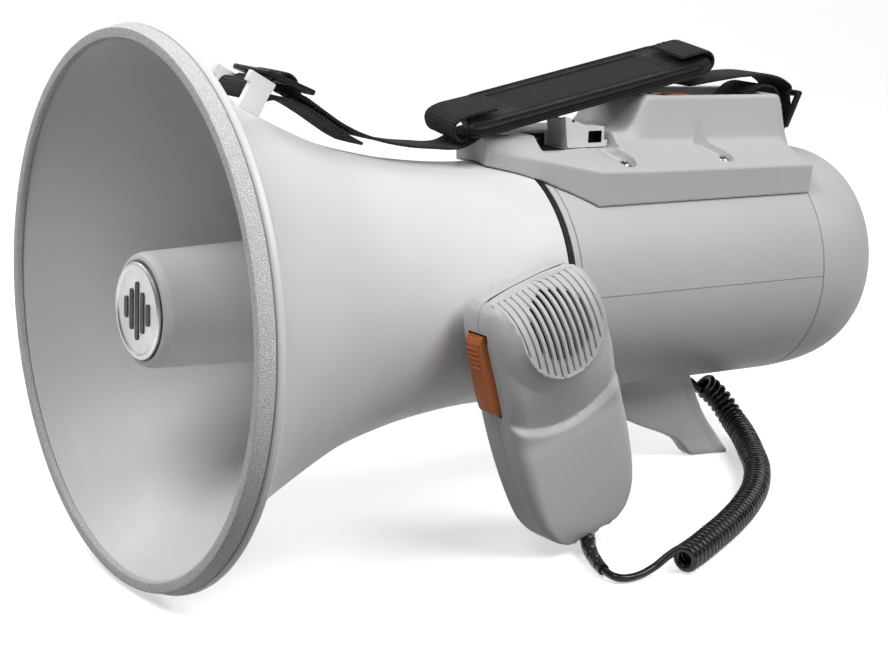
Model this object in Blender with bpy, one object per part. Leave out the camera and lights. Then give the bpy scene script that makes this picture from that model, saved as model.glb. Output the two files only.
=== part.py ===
"""Shoulder-type megaphone with a hand microphone on a curly cord.

Every shape is written in the megaphone's own frame, in millimetres: the origin is the centre of the bell's
mouth, +Y runs back along the horn's axis, +Z is up and +X is the side the microphone hangs on. An empty called
megaphone tilts that frame so the rim and the foot both stand on the floor.
"""
import bpy
import bmesh
import math
from mathutils import Matrix, Vector
from mathutils.geometry import interpolate_bezier

MM = 0.001
STEPS = 36                    # facets round the large turned parts; one facet faces straight down
TILT = math.radians(3.919)    # tail-down tilt when standing on rim and foot
LIP_Y, LIP_R = 9.6, 117.6     # rearmost edge of the bell's rolled lip, which touches the floor
Y_MIDDLE = 186.4              # half way along the megaphone, measured on the floor
GAP = 0.3                     # clearance between neighbouring pieces
BODY_R, BODY_WALL = 54.7, 2.8
BODY_FRONT, BODY_REAR = 194.0, 336.8
CAP_END = 380.4
SADDLE_CLEAR = 55.4           # radius the saddle's underside keeps
CAP_LEAN = 0.05               # the cap's axis rises by this much per unit behind the body
CELL_R, CELL_LENGTH = 13.1, 50.0
WEBBING, WEBBING_THICK = 24.0, 1.4
COIL_R, WIRE_R = 6.5, 1.75

SIN, COS = math.sin(TILT), math.cos(TILT)
LIFT = SIN * LIP_Y + COS * LIP_R * math.cos(math.pi / STEPS)


def floor_z(y):
    """Height of the floor under the point y, in the megaphone's frame."""
    return (SIN * y - LIFT) / COS


for item in list(bpy.data.objects):
    bpy.data.objects.remove(item, do_unlink=True)

frame = bpy.data.objects.new("megaphone", None)
bpy.context.collection.objects.link(frame)
frame.rotation_euler = (-TILT, 0.0, 0.0)
frame.location = (0.0, -Y_MIDDLE * MM, LIFT * MM)

COLOURS = {
    "shell": (0.62, 0.62, 0.60, 1.0), "pale": (0.80, 0.80, 0.79, 1.0), "black": (0.02, 0.02, 0.022, 1.0),
    "orange": (0.72, 0.20, 0.04, 1.0), "steel": (0.60, 0.60, 0.58, 1.0), "green": (0.05, 0.22, 0.10, 1.0),
    "brass": (0.70, 0.52, 0.22, 1.0), "magnet": (0.10, 0.10, 0.11, 1.0), "cell": (0.16, 0.22, 0.40, 1.0),
}


def finish(name, bm, colour, pivot=(0, 0, 0), smooth=True, parent=frame):
    """Turn a bmesh drawn in millimetres into a node with its own material and its origin at pivot."""
    bmesh.ops.remove_doubles(bm, verts=bm.verts, dist=0.001)
    bmesh.ops.recalc_face_normals(bm, faces=bm.faces)
    bmesh.ops.connect_verts_nonplanar(bm, angle_limit=math.radians(0.05), faces=bm.faces)
    pivot = Vector(pivot)
    for vert in bm.verts:
        vert.co = (vert.co - pivot) * MM
    mesh = bpy.data.meshes.new(name)
    bm.to_mesh(mesh)
    bm.free()
    obj = bpy.data.objects.new(name, mesh)
    bpy.context.collection.objects.link(obj)
    obj.location = pivot * MM
    obj.parent = parent
    if smooth:
        mesh.shade_smooth()
        mesh.set_sharp_from_angle(angle=math.radians(32))
    if colour:
        material = bpy.data.materials.new(name)
        material.use_nodes = True
        shader = material.node_tree.nodes["Principled BSDF"]
        shader.inputs["Base Color"].default_value = COLOURS[colour]
        shader.inputs["Roughness"].default_value = 0.5
        mesh.materials.append(material)
    else:
        obj.hide_render = True
        obj.display_type = "WIRE"
    return obj


def strip_faces(bm, rings, closed_rings=True, caps=True):
    """Skin a list of vertex rings of equal count; the ends are capped when caps is set."""
    count = len(rings[0])
    for first, second in zip(rings, rings[1:]):
        for i in range(count):
            j = (i + 1) % count
            bm.faces.new((first[i], first[j], second[j], second[i]))
    if caps:
        bm.faces.new(rings[0][::-1])
        bm.faces.new(rings[-1])


def turned(name, profile, colour, steps=STEPS, centre=(0, 0), arc=None, pivot=(0, 0, 0), lean=0.0):
    """Body turned about the horn's axis. profile is (y, r) round the section; ends at r 0 close on the axis.
    Behind the body the section's centre may rise, by lean per unit."""
    bm = bmesh.new()
    open_profile = profile[0][1] == 0 and profile[-1][1] == 0
    rows = []
    turn, start = (2 * math.pi, -math.pi / 2 - math.pi / steps) if arc is None else (arc[1] - arc[0], arc[0])
    for k in range(steps if arc is None else steps + 1):
        a = start + turn * k / steps
        ca, sa = math.cos(a), math.sin(a)
        rows.append([bm.verts.new((centre[0] + r * ca, y, centre[1] + r * sa + lean * max(0, y - BODY_REAR - 0.4)))
                     for y, r in profile])
    if arc is None:
        rows.append(rows[0])
    count = len(profile)
    for first, second in zip(rows, rows[1:]):
        for i in range(count - 1 if open_profile else count):
            j = (i + 1) % count
            corners = [first[i], first[j], second[j], second[i]]
            if profile[i][1] == 0:
                corners = [first[i], first[j], second[j]]
            elif profile[j][1] == 0:
                corners = [first[i], first[j], second[i]]
            bm.faces.new(corners)
    if arc is not None:
        bm.faces.new(rows[0])
        bm.faces.new(rows[-1][::-1])
    return finish(name, bm, colour, pivot)


def loft(name, sections, colour, pivot=(0, 0, 0), smooth=True):
    bm = bmesh.new()
    strip_faces(bm, [[bm.verts.new(p) for p in ring] for ring in sections])
    return finish(name, bm, colour, pivot, smooth)


def block(name, low, high, colour=None, pivot=(0, 0, 0)):
    ring = [(low[0], low[1]), (high[0], low[1]), (high[0], high[1]), (low[0], high[1])]
    sections = [[(x, y, z) for x, y in ring] for z in (low[2], high[2])]
    return loft(name, sections, colour, pivot, smooth=False)


def rod(name, start, end, radius, colour=None, steps=16, pivot=(0, 0, 0), ends=None):
    """Round bar; ends may hold (distance along, radius) stations instead of one radius."""
    start, end = Vector(start), Vector(end)
    line = (end - start).normalized()
    side = line.cross(Vector((0, 1, 0) if abs(line.y) < 0.9 else (1, 0, 0))).normalized()
    other = line.cross(side)
    stations = ends or [(0.0, radius), ((end - start).length, radius)]
    sections = []
    for along, r in stations:
        ring = [2 * math.pi * (k + 0.5) / steps for k in range(steps)]
        sections.append([start + line * along + (side * math.cos(a) + other * math.sin(a)) * r for a in ring])
    return loft(name, sections, colour, pivot)


def cut(target, tool, operation="DIFFERENCE"):
    modifier = target.modifiers.new(operation.lower() + "_" + tool.name, "BOOLEAN")
    modifier.operation = operation
    modifier.solver = "EXACT"
    modifier.object = tool


def smooth_path(points, count):
    """Evenly numbered points on a smooth curve through the route points."""
    points = [Vector(p) for p in points]
    dense = []
    for i in range(len(points) - 1):
        before = points[i - 1] if i else points[i] * 2 - points[i + 1]
        after = points[i + 2] if i + 2 < len(points) else points[i + 1] * 2 - points[i]
        a, b = points[i], points[i + 1]
        step = (b - a).length / 3
        out, into = (b - before).normalized() * step, (after - a).normalized() * step
        dense += interpolate_bezier(a, a + out, b - into, b, 24)[:-1]
    dense.append(points[-1])
    lengths = [0.0]
    for a, b in zip(dense, dense[1:]):
        lengths.append(lengths[-1] + (b - a).length)
    result, k = [], 0
    for i in range(count):
        want = lengths[-1] * i / (count - 1)
        while k < len(dense) - 2 and lengths[k + 1] < want:
            k += 1
        share = (want - lengths[k]) / max(lengths[k + 1] - lengths[k], 1e-9)
        result.append(dense[k].lerp(dense[k + 1], min(max(share, 0.0), 1.0)))
    return result


def ribbon(name, route, colour, count=24, roll=0.0):
    """Flat webbing whose width lies across the horn and drops by roll per unit; route is (y, z) pairs."""
    path = smooth_path([(0.0, y, z) for y, z in route], count)
    bm, rings = bmesh.new(), []
    for i, point in enumerate(path):
        run = (path[min(i + 1, count - 1)] - path[max(i - 1, 0)]).normalized()
        up = Vector((1, 0, 0)).cross(run).normalized() * WEBBING_THICK / 2
        half = Vector((WEBBING / 2, 0, -roll * WEBBING / 2))
        rings.append([bm.verts.new(p) for p in (point - half - up, point + half - up, point + half + up,
                                                point - half + up)])
    strip_faces(bm, rings)
    return finish(name, bm, colour)


def tube(name, route, radius, colour, count, resolution=2):
    """Cord drawn as a round curve with closed ends."""
    path = smooth_path(route, count)
    data = bpy.data.curves.new(name, "CURVE")
    data.dimensions = "3D"
    data.bevel_depth = radius * MM
    data.bevel_resolution = resolution
    data.use_fill_caps = True
    data.resolution_u = 1
    data.render_resolution_u = 0
    line = data.splines.new("POLY")
    line.points.add(len(path) - 1)
    for point, place in zip(line.points, path):
        point.co = (*(place * MM), 1.0)
    obj = bpy.data.objects.new(name, data)
    bpy.context.collection.objects.link(obj)
    obj.parent = frame
    material = bpy.data.materials.new(name)
    material.use_nodes = True
    material.node_tree.nodes["Principled BSDF"].inputs["Base Color"].default_value = COLOURS[colour]
    data.materials.append(material)
    return obj


# ---------------------------------------------------------------- horn
turned("horn_bell", [
    (2.6, 110.6), (2.6, 113.2), (7.1, 113.9), (7.1, 116.9), (7.8, 117.6), (LIP_Y, LIP_R), (11.2, 116.2),
    (15.5, 104.5), (24, 97.2), (38, 88.6), (55, 80), (68, 73.9), (84, 67.2), (102, 62.2), (126, 57.6),
    (156, 54.7), (186.6, 54.7),
    (186.6, 52.0), (156, 52.0), (126, 54.8), (102, 59.4), (84, 64.3), (68, 70.9), (55, 77.1), (38, 85.8),
    (22, 95.6), (10, 104.6)], "pale")
turned("rim_bumper", [(0.8, 110.2), (0, 110.9), (0, 114.6), (0.6, 115.2), (6.7, 116.9), (6.7, 114.3),
                      (2.3, 113.6), (2.3, 110.2)], "pale")
cup = turned("reflector_cup", [
    (7.6, 0), (7.6, 21.5), (8.4, 23.2), (11, 24.0), (56, 25.6), (100, 28.0), (150, 32.0),
    (150, 29.8), (100, 25.8), (56, 23.4), (24, 22.0), (14, 18), (10.2, 10), (9.8, 0)], "pale", steps=28)
turned("reflector_badge", [(7.3, 0), (7.3, 20.2), (6.2, 20.2), (5.8, 19.6), (5.8, 18.2), (6.3, 17.8), (6.3, 0)],
       "steel", steps=28)

pipe = turned("throat_pipe", [
    (34, 13.4), (34, 15.4), (110, 13.2), (176, 11.6), (182, 15), (183.2, 51.4), (186.6, 51.4), (186.6, 9.0),
    (110, 11.2)], "pale", steps=22)
for k in range(4):
    angle = math.radians(45 + 90 * k)
    out = Vector((math.cos(angle), 0, math.sin(angle)))
    side = Vector((-math.sin(angle), 0, math.cos(angle))) * 1.0
    corners = [(52, 14.2), (52, 22.9), (100, 25.2), (148, 29.2), (148, 11.9)]
    fin = loft("stay_%d" % (k + 1), [[out * r + Vector((0, y, 0)) + side * s for y, r in corners]
                                     for s in (-1, 1)], None, smooth=False)
    cut(pipe, fin, "UNION")

turned("horn_gasket", [(187.0, 46), (187.0, 55.1), (190.0, 55.1), (190.0, 46)], "black")
turned("driver_flange", [(190.3, 9.4), (190.3, 54.7), (193.6, 54.7), (193.6, 50.8), (199.5, 50.8), (199.5, 47.6),
                         (194.6, 44), (194.6, 9.4)], "pale")

# ---------------------------------------------------------------- compression driver
turned("driver_diaphragm", [(198.3, 0), (200.6, 16), (203.9, 25.6), (201.2, 31), (203.6, 34.6), (203.6, 43.4),
                            (204.2, 43.4), (204.2, 34.2), (202.0, 31), (204.7, 24.8), (201.3, 15.6), (199.0, 0)],
       "brass", steps=24)
turned("driver_top_plate", [(204.5, 27.8), (204.5, 43.4), (210.5, 43.4), (210.5, 27.8)], "steel", steps=28)
turned("driver_magnet", [(210.8, 29), (210.8, 42), (225.6, 42), (225.6, 29)], "magnet", steps=28)
turned("driver_yoke", [(205.2, 0), (205.2, 24), (225.9, 24), (225.9, 40), (231.5, 40), (231.5, 0)], "steel",
       steps=28)

# ---------------------------------------------------------------- body
inner = BODY_R - BODY_WALL
split = 0.15 / BODY_R
shell_profile = [(BODY_FRONT, inner), (BODY_FRONT, BODY_R), (BODY_REAR, BODY_R), (BODY_REAR, inner)]
upper = turned("body_upper_shell", shell_profile, "shell", steps=20, arc=(split, math.pi - split))
lower = turned("body_lower_shell", shell_profile, "shell", steps=20, arc=(math.pi + split, 2 * math.pi - split))

SCREW_X, SCREW_Y = 34.0, (229.0, 287.0)
screw_places = [(sx * SCREW_X, y) for y in SCREW_Y for sx in (1, -1)]
for k, (x, y) in enumerate(screw_places):
    cut(upper, rod("shell_hole_%d" % (k + 1), (x, y, 30), (x, y, 50), 2.3, steps=8))

foot_levels = [(0.0, 236, 297, 3.4, 8.4), (0.28, 246, 302.5, 3.2, 8.8), (0.55, 270, 309, 3.2, 9.4),
               (0.80, 296, 317.5, 3.4, 10.4), (1.0, 305, 324, 4.4, 12.0)]
foot_sections = []
for share, front, back, thin, wide in foot_levels:
    ring = []
    for x, y in ((-thin, front), (thin, front), (wide, back), (-wide, back)):
        ring.append((x, y, -50 + (floor_z(y) + 50) * share))
    foot_sections.append(ring)
foot = loft("rear_foot", foot_sections, "shell")
body_clearance = turned("body_clearance", [(150, 0), (150, 55.15), (345, 55.15), (345, 0)], None)
cut(foot, body_clearance)

turned("rear_cap", [
    (CAP_END, 0), (380.1, 18), (379.4, 30), (378.0, 39), (375.8, 44.8), (372.6, 48.4), (368, 51.0), (360, 53.4),
    (350, 54.5), (337.2, BODY_R), (337.2, 50.8), (328.5, 50.6), (328.5, 48.2), (337.2, 49.8), (352, 50.6),
    (362, 49.4), (369, 46.8), (373, 43.0), (375.4, 37), (376.6, 28), (377.4, 0)], "shell",
    pivot=(0, BODY_REAR, 0), lean=CAP_LEAN)
turned("cap_seal", [(331, 51.0), (331, 51.45), (333.4, 51.45), (333.4, 51.0)], "black",
       pivot=(0, BODY_REAR, 0))

# ---------------------------------------------------------------- batteries
HOLDER_FRONT, HOLDER_REAR = 253.0, 366.0
holder = rod("battery_holder", (0, HOLDER_FRONT, 0), (0, HOLDER_FRONT + 3, 0), 44.0, "black", steps=24)
cut(holder, rod("holder_rear_plate", (0, HOLDER_REAR - 3, 0), (0, HOLDER_REAR, 0), 44.0, steps=24), "UNION")
cut(holder, block("holder_wall", (-36, HOLDER_FRONT + 1, -1.2), (36, HOLDER_REAR - 1, 1.2)), "UNION")
cut(holder, block("holder_divider", (-1.2, HOLDER_FRONT + 1, -36), (1.2, HOLDER_REAR - 1, 36)), "UNION")
for k in range(8):
    sx, sz = ((1, 1), (-1, 1), (-1, -1), (1, -1))[k % 4]
    start = HOLDER_FRONT + 4.6 + (k // 4) * (CELL_LENGTH + 1.2)
    stations = [(0, CELL_R - 0.6), (0.6, CELL_R), (47.6, CELL_R), (48.2, CELL_R - 0.8), (48.3, 3.6), (50, 3.4)]
    x, z = sx * 15.4, sz * 15.4
    rod("battery_cell_%d" % (k + 1), (x, start, z), (x, start + 50, z), CELL_R, "cell", steps=10, ends=stations)
rod("battery_contact_plate", (0, HOLDER_FRONT - 2.0, 0), (0, HOLDER_FRONT - 0.3, 0), 42.0, "green", steps=24)

# ---------------------------------------------------------------- saddle over the body
def saddle_ring(y, half, bevel, shoulder, top):
    """Section of the saddle: half width on the body, bevel line, shoulder and roof corner."""
    arc = [half * f for f in (-1, -0.72, -0.36, 0, 0.36, 0.72, 1)]
    base = [(x, y, math.sqrt(54.0 ** 2 - x * x)) for x in arc]
    side = [bevel, shoulder, top]
    right = [(x, y, z) for x, z in side]
    left = [(-x, y, z) for x, z in reversed(side)]
    return base + right + left


saddle = loft("control_housing", [
    saddle_ring(168.6, 11.0, (12.0, 60.5), (11.0, 65.5), (9.0, 66.6)),
    saddle_ring(171.5, 14.0, (15.2, 60.0), (12.5, 66.4), (10.0, 67.6)),
    saddle_ring(196.0, 32.0, (33.6, 56.4), (22.5, 65.2), (19.5, 67.6)),
    saddle_ring(211.0, 40.6, (42.3, 53.6), (24.0, 64.6), (20.5, 67.8)),
    saddle_ring(238.5, 40.6, (42.3, 52.8), (24.4, 63.6), (21.0, 68.0)),
    saddle_ring(250.5, 40.6, (42.3, 52.6), (24.6, 63.2), (22.5, 84.0)),
    saddle_ring(331.0, 40.6, (42.3, 51.8), (24.6, 62.0), (22.5, 82.4)),
    saddle_ring(337.0, 40.6, (42.3, 51.4), (24.6, 57.5), (21.5, 62.0))], "shell")
hollow = loft("saddle_hollow", [
    [(x * w, y, z if z > 0 else 20) for x, z in
     ((-38, 0), (38, 0), (39.4, 51.4), (22.2, side), (20.2, top), (-20.2, top), (-22.2, side), (-39.4, 51.4))]
    for y, w, side, top in ((180, 0.52, 62.6, 65.2), (212, 0.98, 61.6, 65.4), (240.5, 1.0, 61.2, 65.6),
                            (252.8, 1.0, 60.8, 81.6), (328.5, 1.0, 59.6, 80.0))], None, smooth=False)
cut(saddle, hollow)
cut(saddle, block("well_wall", (-16.6, 255, 69.6), (21.5, 330, 82.2)), "UNION")
cut(saddle, block("recess_wall", (2.2, 188.2, 59.0), (20.6, 233.6, 66.6)), "UNION")
for k, (x, y) in enumerate(screw_places):
    cut(saddle, rod("boss_%d" % (k + 1), (x, y, 45.2), (x, y, 56.2), 5.4, steps=12), "UNION")
cut(saddle, block("well", (-14.2, 257.5, 71.8), (19.6, 327.5, 90)))
cut(saddle, block("switch_recess", (4.4, 190.4, 61.0), (30, 231.4, 75)))
for k, (x, y) in enumerate(screw_places):
    cut(saddle, rod("screw_recess_%d" % (k + 1), (x, y, 54.4), (x, y, 66), 4.3, steps=16))
    cut(saddle, rod("saddle_hole_%d" % (k + 1), (x, y, 40), (x, y, 60), 1.9, steps=8))
    rod("saddle_screw_%d" % (k + 1), (x, y, 38), (x, y, 57), 3.2, "steel", steps=10,
        ends=[(0, 1.2), (1.2, 1.5), (16.7, 1.5), (16.8, 3.5), (18.0, 3.2), (18.8, 2.0)])

cut(saddle, turned("saddle_clearance", [(150, 0), (150, SADDLE_CLEAR), (345, SADDLE_CLEAR), (345, 0)], None))

KNOB = (9.5, 275.0)
cut(saddle, rod("shaft_hole", (*KNOB, 60), (*KNOB, 80), 3.8, steps=12))
rod("volume_knob", (*KNOB, 62.0), (*KNOB, 84.0), 9.3, "orange", steps=22, pivot=(*KNOB, 72.2),
    ends=[(0, 2.6), (0.4, 3.2), (11.4, 3.2), (11.6, 8.6), (12.2, 9.3), (20.2, 9.3), (21.2, 8.7), (21.8, 6.0)])
rod("volume_control", (*KNOB, 58.2), (*KNOB, 61.7), 8.0, "steel", steps=16)
block("amplifier_board", (-19.5, 238, 56.4), (19.5, 326, 57.9), "green")
heat_sink = block("heat_sink", (-19, 284, 58.2), (19, 324, 66.8), "steel")
for k, x in enumerate((-14.6, -7.6, -0.6, 6.4)):
    cut(heat_sink, block("fin_gap_%d" % (k + 1), (x, 280, 60.4), (x + 5.2, 330, 70)))
sections = [[(x, y, z) for y, z in ((207.5, 61.4), (228.0, 61.4), (228.0, 70.6), (217.5, 71.2), (207.5, 75.2),
                                    (205.6, 75.0))] for x in (5.2, 19.8)]
loft("selector_slide", sections, "shell", pivot=(12.5, 217, 61.4), smooth=False)

# ---------------------------------------------------------------- carrying strap
def local_frame(y, z, lean):
    """Point maker for (x, along, out): along runs to the rear and down by lean, out stands off upwards."""
    def place(x, along, out):
        return (x, y + along * math.cos(lean) + out * math.sin(lean),
                z - along * math.sin(lean) + out * math.cos(lean))
    return place


def slab(name, place, low, high, colour=None):
    corners = ((low[1], low[2]), (high[1], low[2]), (high[1], high[2]), (low[1], high[2]))
    return loft(name, [[place(x, a, o) for a, o in corners] for x in (low[0], high[0])], colour, smooth=False)


def route_in(place, pairs):
    return [place(0, a, o)[1:] for a, o in pairs]


on_lug = local_frame(48.2, 83.4, math.radians(29.5))
lug = slab("front_strap_lug", on_lug, (-16.4, -5.2, -3.2), (16.4, 5.2, 1.8), "pale")
for k, side in enumerate((-16.4, 13.2)):
    cut(lug, slab("cheek_%d" % (k + 1), on_lug, (side + 0.02, -5.1, 0.5), (side + 3.18, 5.1, 13.6)), "UNION")
    cut(lug, slab("cheek_head_%d" % (k + 1), on_lug, (side + 0.1, -7.0, 9.4), (side + 3.1, 5.6, 13.9)), "UNION")
cut(lug, rod("lug_bar", on_lug(-15, 0.5, 7.6), on_lug(15, 0.5, 7.6), 2.0, steps=10), "UNION")
cut(lug, turned("bell_clearance", [(30, 0), (30, 93.4), (42, 86.8), (55, 80.4), (66, 75.2), (66, 0)], None))

on_buckle = local_frame(68.0, 93.2, math.radians(22.4))
buckle = slab("front_buckle", on_buckle, (-15.6, -12, -1.2), (15.6, 12, 1.2), "black")
for k, low in enumerate((-8.6, 1.6)):
    cut(buckle, slab("buckle_slot_%d" % (k + 1), on_buckle, (-12.8, low, -3), (12.8, low + 7.0, 3)))
ribbon("front_webbing",
       [(105, 66.2), (99, 69.2), (92, 73.6), (84, 78.6), (76, 83), (68, 86), (60, 86.2), (54.6, 84.9)]
       + route_in(on_lug, [(0.5, 3.7), (-2.4, 4.9), (-3.7, 7.8), (-2.4, 10.6), (0.8, 11.6)])
       + route_in(on_buckle, [(-10.3, -2.8), (-7.6, -2.5), (-2.7, 2.6), (2.7, 2.6), (7.6, -2.5), (11.5, -2.9)])
       + [(86, 80.6), (95, 75), (105, 70.3), (117, 66.8), (130, 64.4), (143, 63.2), (151, 62.6), (157, 63.2), (163, 65.6),
          (168, 68.3), (174, 69.3), (181, 69.6)],
       "black", count=56)

on_pad = local_frame(228.0, 86.6, -math.radians(11.3))
ROLL = math.tan(math.radians(8))
outline = [(19, -76), (20.5, -62), (20.5, 56), (15.5, 66), (-15.5, 66), (-20.5, 56), (-20.5, -48), (-15.5, -60)]
pad_rings = [[on_pad(x * f, a * g, o - x * ROLL) for x, a in outline]
             for o, f, g in ((-3.0, 0.94, 0.985), (1.2, 1.0, 1.0), (3.0, 0.93, 0.98))]
loft("shoulder_pad", pad_rings, "black")
ribbon("pad_loop_front", route_in(on_pad, [(-54, 4.6), (-64, 4.8), (-72, 4.6), (-77, 2.6), (-77.6, -1.4),
                                           (-75.6, -4.6), (-71, -5.2)]), "black", count=14, roll=ROLL)
ribbon("pad_loop_rear", route_in(on_pad, [(52, 4.8), (60, 5.0), (67.5, 4.4), (70.4, 1.6), (69.8, -2.6),
                                          (65, -5.2), (55, -5.4)]), "black", count=14, roll=ROLL)

on_ring = local_frame(347.0, 74.5, -math.radians(65))
ring = slab("rear_buckle", on_ring, (-15.6, -9.5, -1.3), (15.6, 9.5, 1.3), "black")
cut(ring, slab("ring_opening", on_ring, (-12.8, -6.6, -3), (12.8, 6.6, 3)))
ribbon("rear_webbing",
       [(284, 87.2), (292, 88.2), (302, 89.4), (316, 90.8), (330, 91.0), (339.5, 89.4), (345.6, 86.6)]
       + route_in(on_ring, [(9.4, 3.3), (6.6, 3.0), (0.4, -1.0), (-5.0, -2.7), (-9.0, -2.6), (-11.9, 0.2),
                            (-9.6, 3.1), (-4.0, 3.9)])
       + [(341.2, 78.0), (338.2, 83.0), (333.6, 85.4), (328, 85.2), (323, 82.8), (320.2, 78.8), (321.4, 75.2),
          (325.0, 74.4)], "black", count=52)
rod("rear_strap_bar", (-13.6, 324.0, 78.2), (19.2, 324.0, 78.2), 1.8, "steel", steps=12)

# ---------------------------------------------------------------- hand microphone
MIC_Y, MIC_Z, MIC_TILT = 165.0, -40.0, math.radians(19.0)
MIC_BACK, MIC_FRONT, MIC_SPLIT, MIC_WALL = 62.6, 97.5, 76.0, 2.2
MIC_TOP, MIC_END = -60.0, 61.0


def on_mic(x, across, down):
    """Point on the microphone: across runs to its rear side, down runs to its cord end."""
    return (x, MIC_Y + across * math.cos(MIC_TILT) + down * math.sin(MIC_TILT),
            MIC_Z + across * math.sin(MIC_TILT) - down * math.cos(MIC_TILT))


def mic_body(name, inset, colour=None):
    """Rounded microphone body; share along its length, half width, back inset, front inset and chamfer."""
    stations = [(0.0, 19.0, 4.0, 16.0, 5.5), (0.03, 23.8, 1.2, 10.0, 7.0), (0.10, 27.2, 0, 4.0, 8.0),
                (0.19, 28.0, 0, 0.6, 8.5), (0.32, 28.6, 0, 0.2, 8.5), (0.52, 29.4, 0, 9.2, 5.0),
                (0.72, 28.4, 0, 10.0, 5.0), (0.86, 25.8, 0, 11.4, 5.0), (0.94, 21.0, 1.0, 12.8, 4.5),
                (0.985, 14.5, 2.5, 14.6, 4.0), (1.0, 9.5, 4.0, 16.4, 4.0)]
    rings = []
    for share, half, back, front, k in stations:
        down = MIC_TOP + inset + (MIC_END - MIC_TOP - 2 * inset) * share
        h, b, f = half - inset, MIC_BACK + inset + back, MIC_FRONT - inset - front
        rings.append([on_mic(x, u, down) for x, u in (
            (b, 3 - h), (b + 3, -h), (f - k, -h), (f - 0.3 * k, 0.3 * k - h), (f, k - h),
            (f, h - k), (f - 0.3 * k, h - 0.3 * k), (f - k, h), (b + 3, h), (b, h - 3))])
    return loft(name, rings, colour)


def mic_block(name, low, high, colour=None, pivot=(0, 0, 0)):
    corners = ((low[1], low[2]), (high[1], low[2]), (high[1], high[2]), (low[1], high[2]))
    return loft(name, [[on_mic(x, u, v) for u, v in corners] for x in (low[0], high[0])], colour, pivot, False)


def mic_rod(name, x_start, x_end, across, down, radius, colour=None, steps=16, ends=None):
    return rod(name, on_mic(x_start, across, down), on_mic(x_end, across, down), radius, colour, steps, ends=ends)


mic_core = mic_body("mic_core", MIC_WALL)
front_shell, back_shell = mic_body("mic_front_shell", 0, "shell"), mic_body("mic_back_shell", 0, "shell")
for shell, low, high in ((front_shell, 50, MIC_SPLIT), (back_shell, MIC_SPLIT - GAP, 110)):
    cut(shell, mic_core)
    cut(shell, mic_block("cut_off_" + shell.name, (low, -60, -90), (high, 60, 90)))
GRILLE_DOWN, GRILLE_R, SLOTS, SLOT_PITCH = -42.5, 15.4, 9, 3.2
for k in range(SLOTS):
    across = (k - (SLOTS - 1) / 2) * SLOT_PITCH
    half = math.sqrt(GRILLE_R ** 2 - across ** 2)
    cut(front_shell, mic_block("slot_%d" % (k + 1), (84, across - 0.8, GRILLE_DOWN - half),
                               (104, across + 0.8, GRILLE_DOWN + half)))
mic_rod("mic_grille_cloth", 78.9, 79.5, 0, GRILLE_DOWN, 14.6, "black", steps=24)
mic_rod("mic_capsule", 72.6, 78.8, 0, GRILLE_DOWN, 9.0, "steel", steps=20)
mic_block("mic_circuit_board", (71.0, -11, -44), (72.6, 17, 24), "green")
mic_rod("mic_hook", 57.5, 62.3, 0, -36.0, 7.2, "shell", steps=16, ends=[(0, 6.6), (0.5, 7.2), (1.9, 7.2),
                                                                       (2.0, 3.2), (4.8, 3.2)])

LEVER_PIVOT = on_mic(74.6, -25.0, -11.0)
lever_side = [(-46.0, -29.6), (-43.6, -31.4), (-20, -33.6), (-13.4, -33.2), (-10.2, -30.6), (-9.6, -24.6),
              (-46.0, -24.6)]
loft("talk_lever", [[on_mic(x, u, v) for v, u in lever_side] for x in (69.4, 80.2)], "orange",
     pivot=LEVER_PIVOT, smooth=False)
for shell in (front_shell, back_shell):
    cut(shell, mic_block("lever_window_" + shell.name, (69.0, -40, -46.7), (80.6, -22, -8.5)))
mic_block("talk_switch", (73.0, -20.6, -43.0), (77.0, -13.6, -35.0), "black")

holder_parts = mic_block("mic_holder", (48, -13, -50), (61.9, 13, -22), "shell")
cut(holder_parts, turned("throat_clearance", [(118, 0), (118, 59.6), (126, 58.0), (156, 55.1), (240, 55.1),
                                              (240, 0)], None))
cut(holder_parts, mic_block("hook_pocket", (57.1, -7.9, -70), (59.8, 7.9, -28.4)))
cut(holder_parts, mic_block("hook_slot", (59.5, -3.7, -70), (64, 3.7, -32.3)))

# ---------------------------------------------------------------- cord
def on_floor(x, y, height):
    return (x, y, floor_z(y) + height)


tube("mic_cord_boot", [on_mic(76.6, 0, 62.2), on_mic(77.0, 0, 63.8), (80.4, 185.4, -101.6),
                       on_floor(86, 183.6, 3.7), on_floor(92, 180.9, 3.6), on_floor(98, 178.0, 3.5)],
     3.1, "black", 16)
tube("mic_wire", [on_floor(98.4, 177.8, 3.4), on_floor(104, 174.8, 2.6), on_floor(111, 171.8, 1.9),
                  on_floor(117.2, 173.4, 1.85), on_floor(120.6, 179.7, 1.85), on_floor(121.8, 185.0, 1.85),
                  on_floor(124.6, 189.8, 1.9), on_floor(127.4, 193.8, 2.5), on_floor(128.0, 197.4, 3.4),
                  on_floor(127.3, 199.4, 3.8)], WIRE_R, "black", 30)
PLUG_X, PLUG_Z = -17.0, -63.4
coil_route = [on_floor(x, y, 6.65) for x, y in ((127.1, 199.9), (122.5, 208.6), (115.3, 222.6), (105.7, 240.6),
                                                (92.7, 261.2), (76.7, 281.8), (55.3, 302.5), (33, 318.5))]
coil_route += [on_floor(13, 331.0, 7.8), (-2, 337.4, -84.0), (-11.5, 335.0, -74.5), (-16, 327.0, -66.4),
               (PLUG_X, 319.0, -63.6), (PLUG_X, 315.0, PLUG_Z)]
tube("cord_coil", coil_route, COIL_R, "black", 46)
rod("cord_plug", (PLUG_X, 292.3, PLUG_Z), (PLUG_X, 314.4, PLUG_Z), 6.0, "black", steps=16,
    ends=[(0, 5.4), (0.6, 6.0), (13.0, 6.0), (14.0, 4.6), (22.1, 3.4)])
socket = block("cord_socket", (PLUG_X - 8, 279.5, PLUG_Z - 7.6), (PLUG_X + 7.2, 292.0, -44), "shell")
cut(socket, body_clearance)
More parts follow.
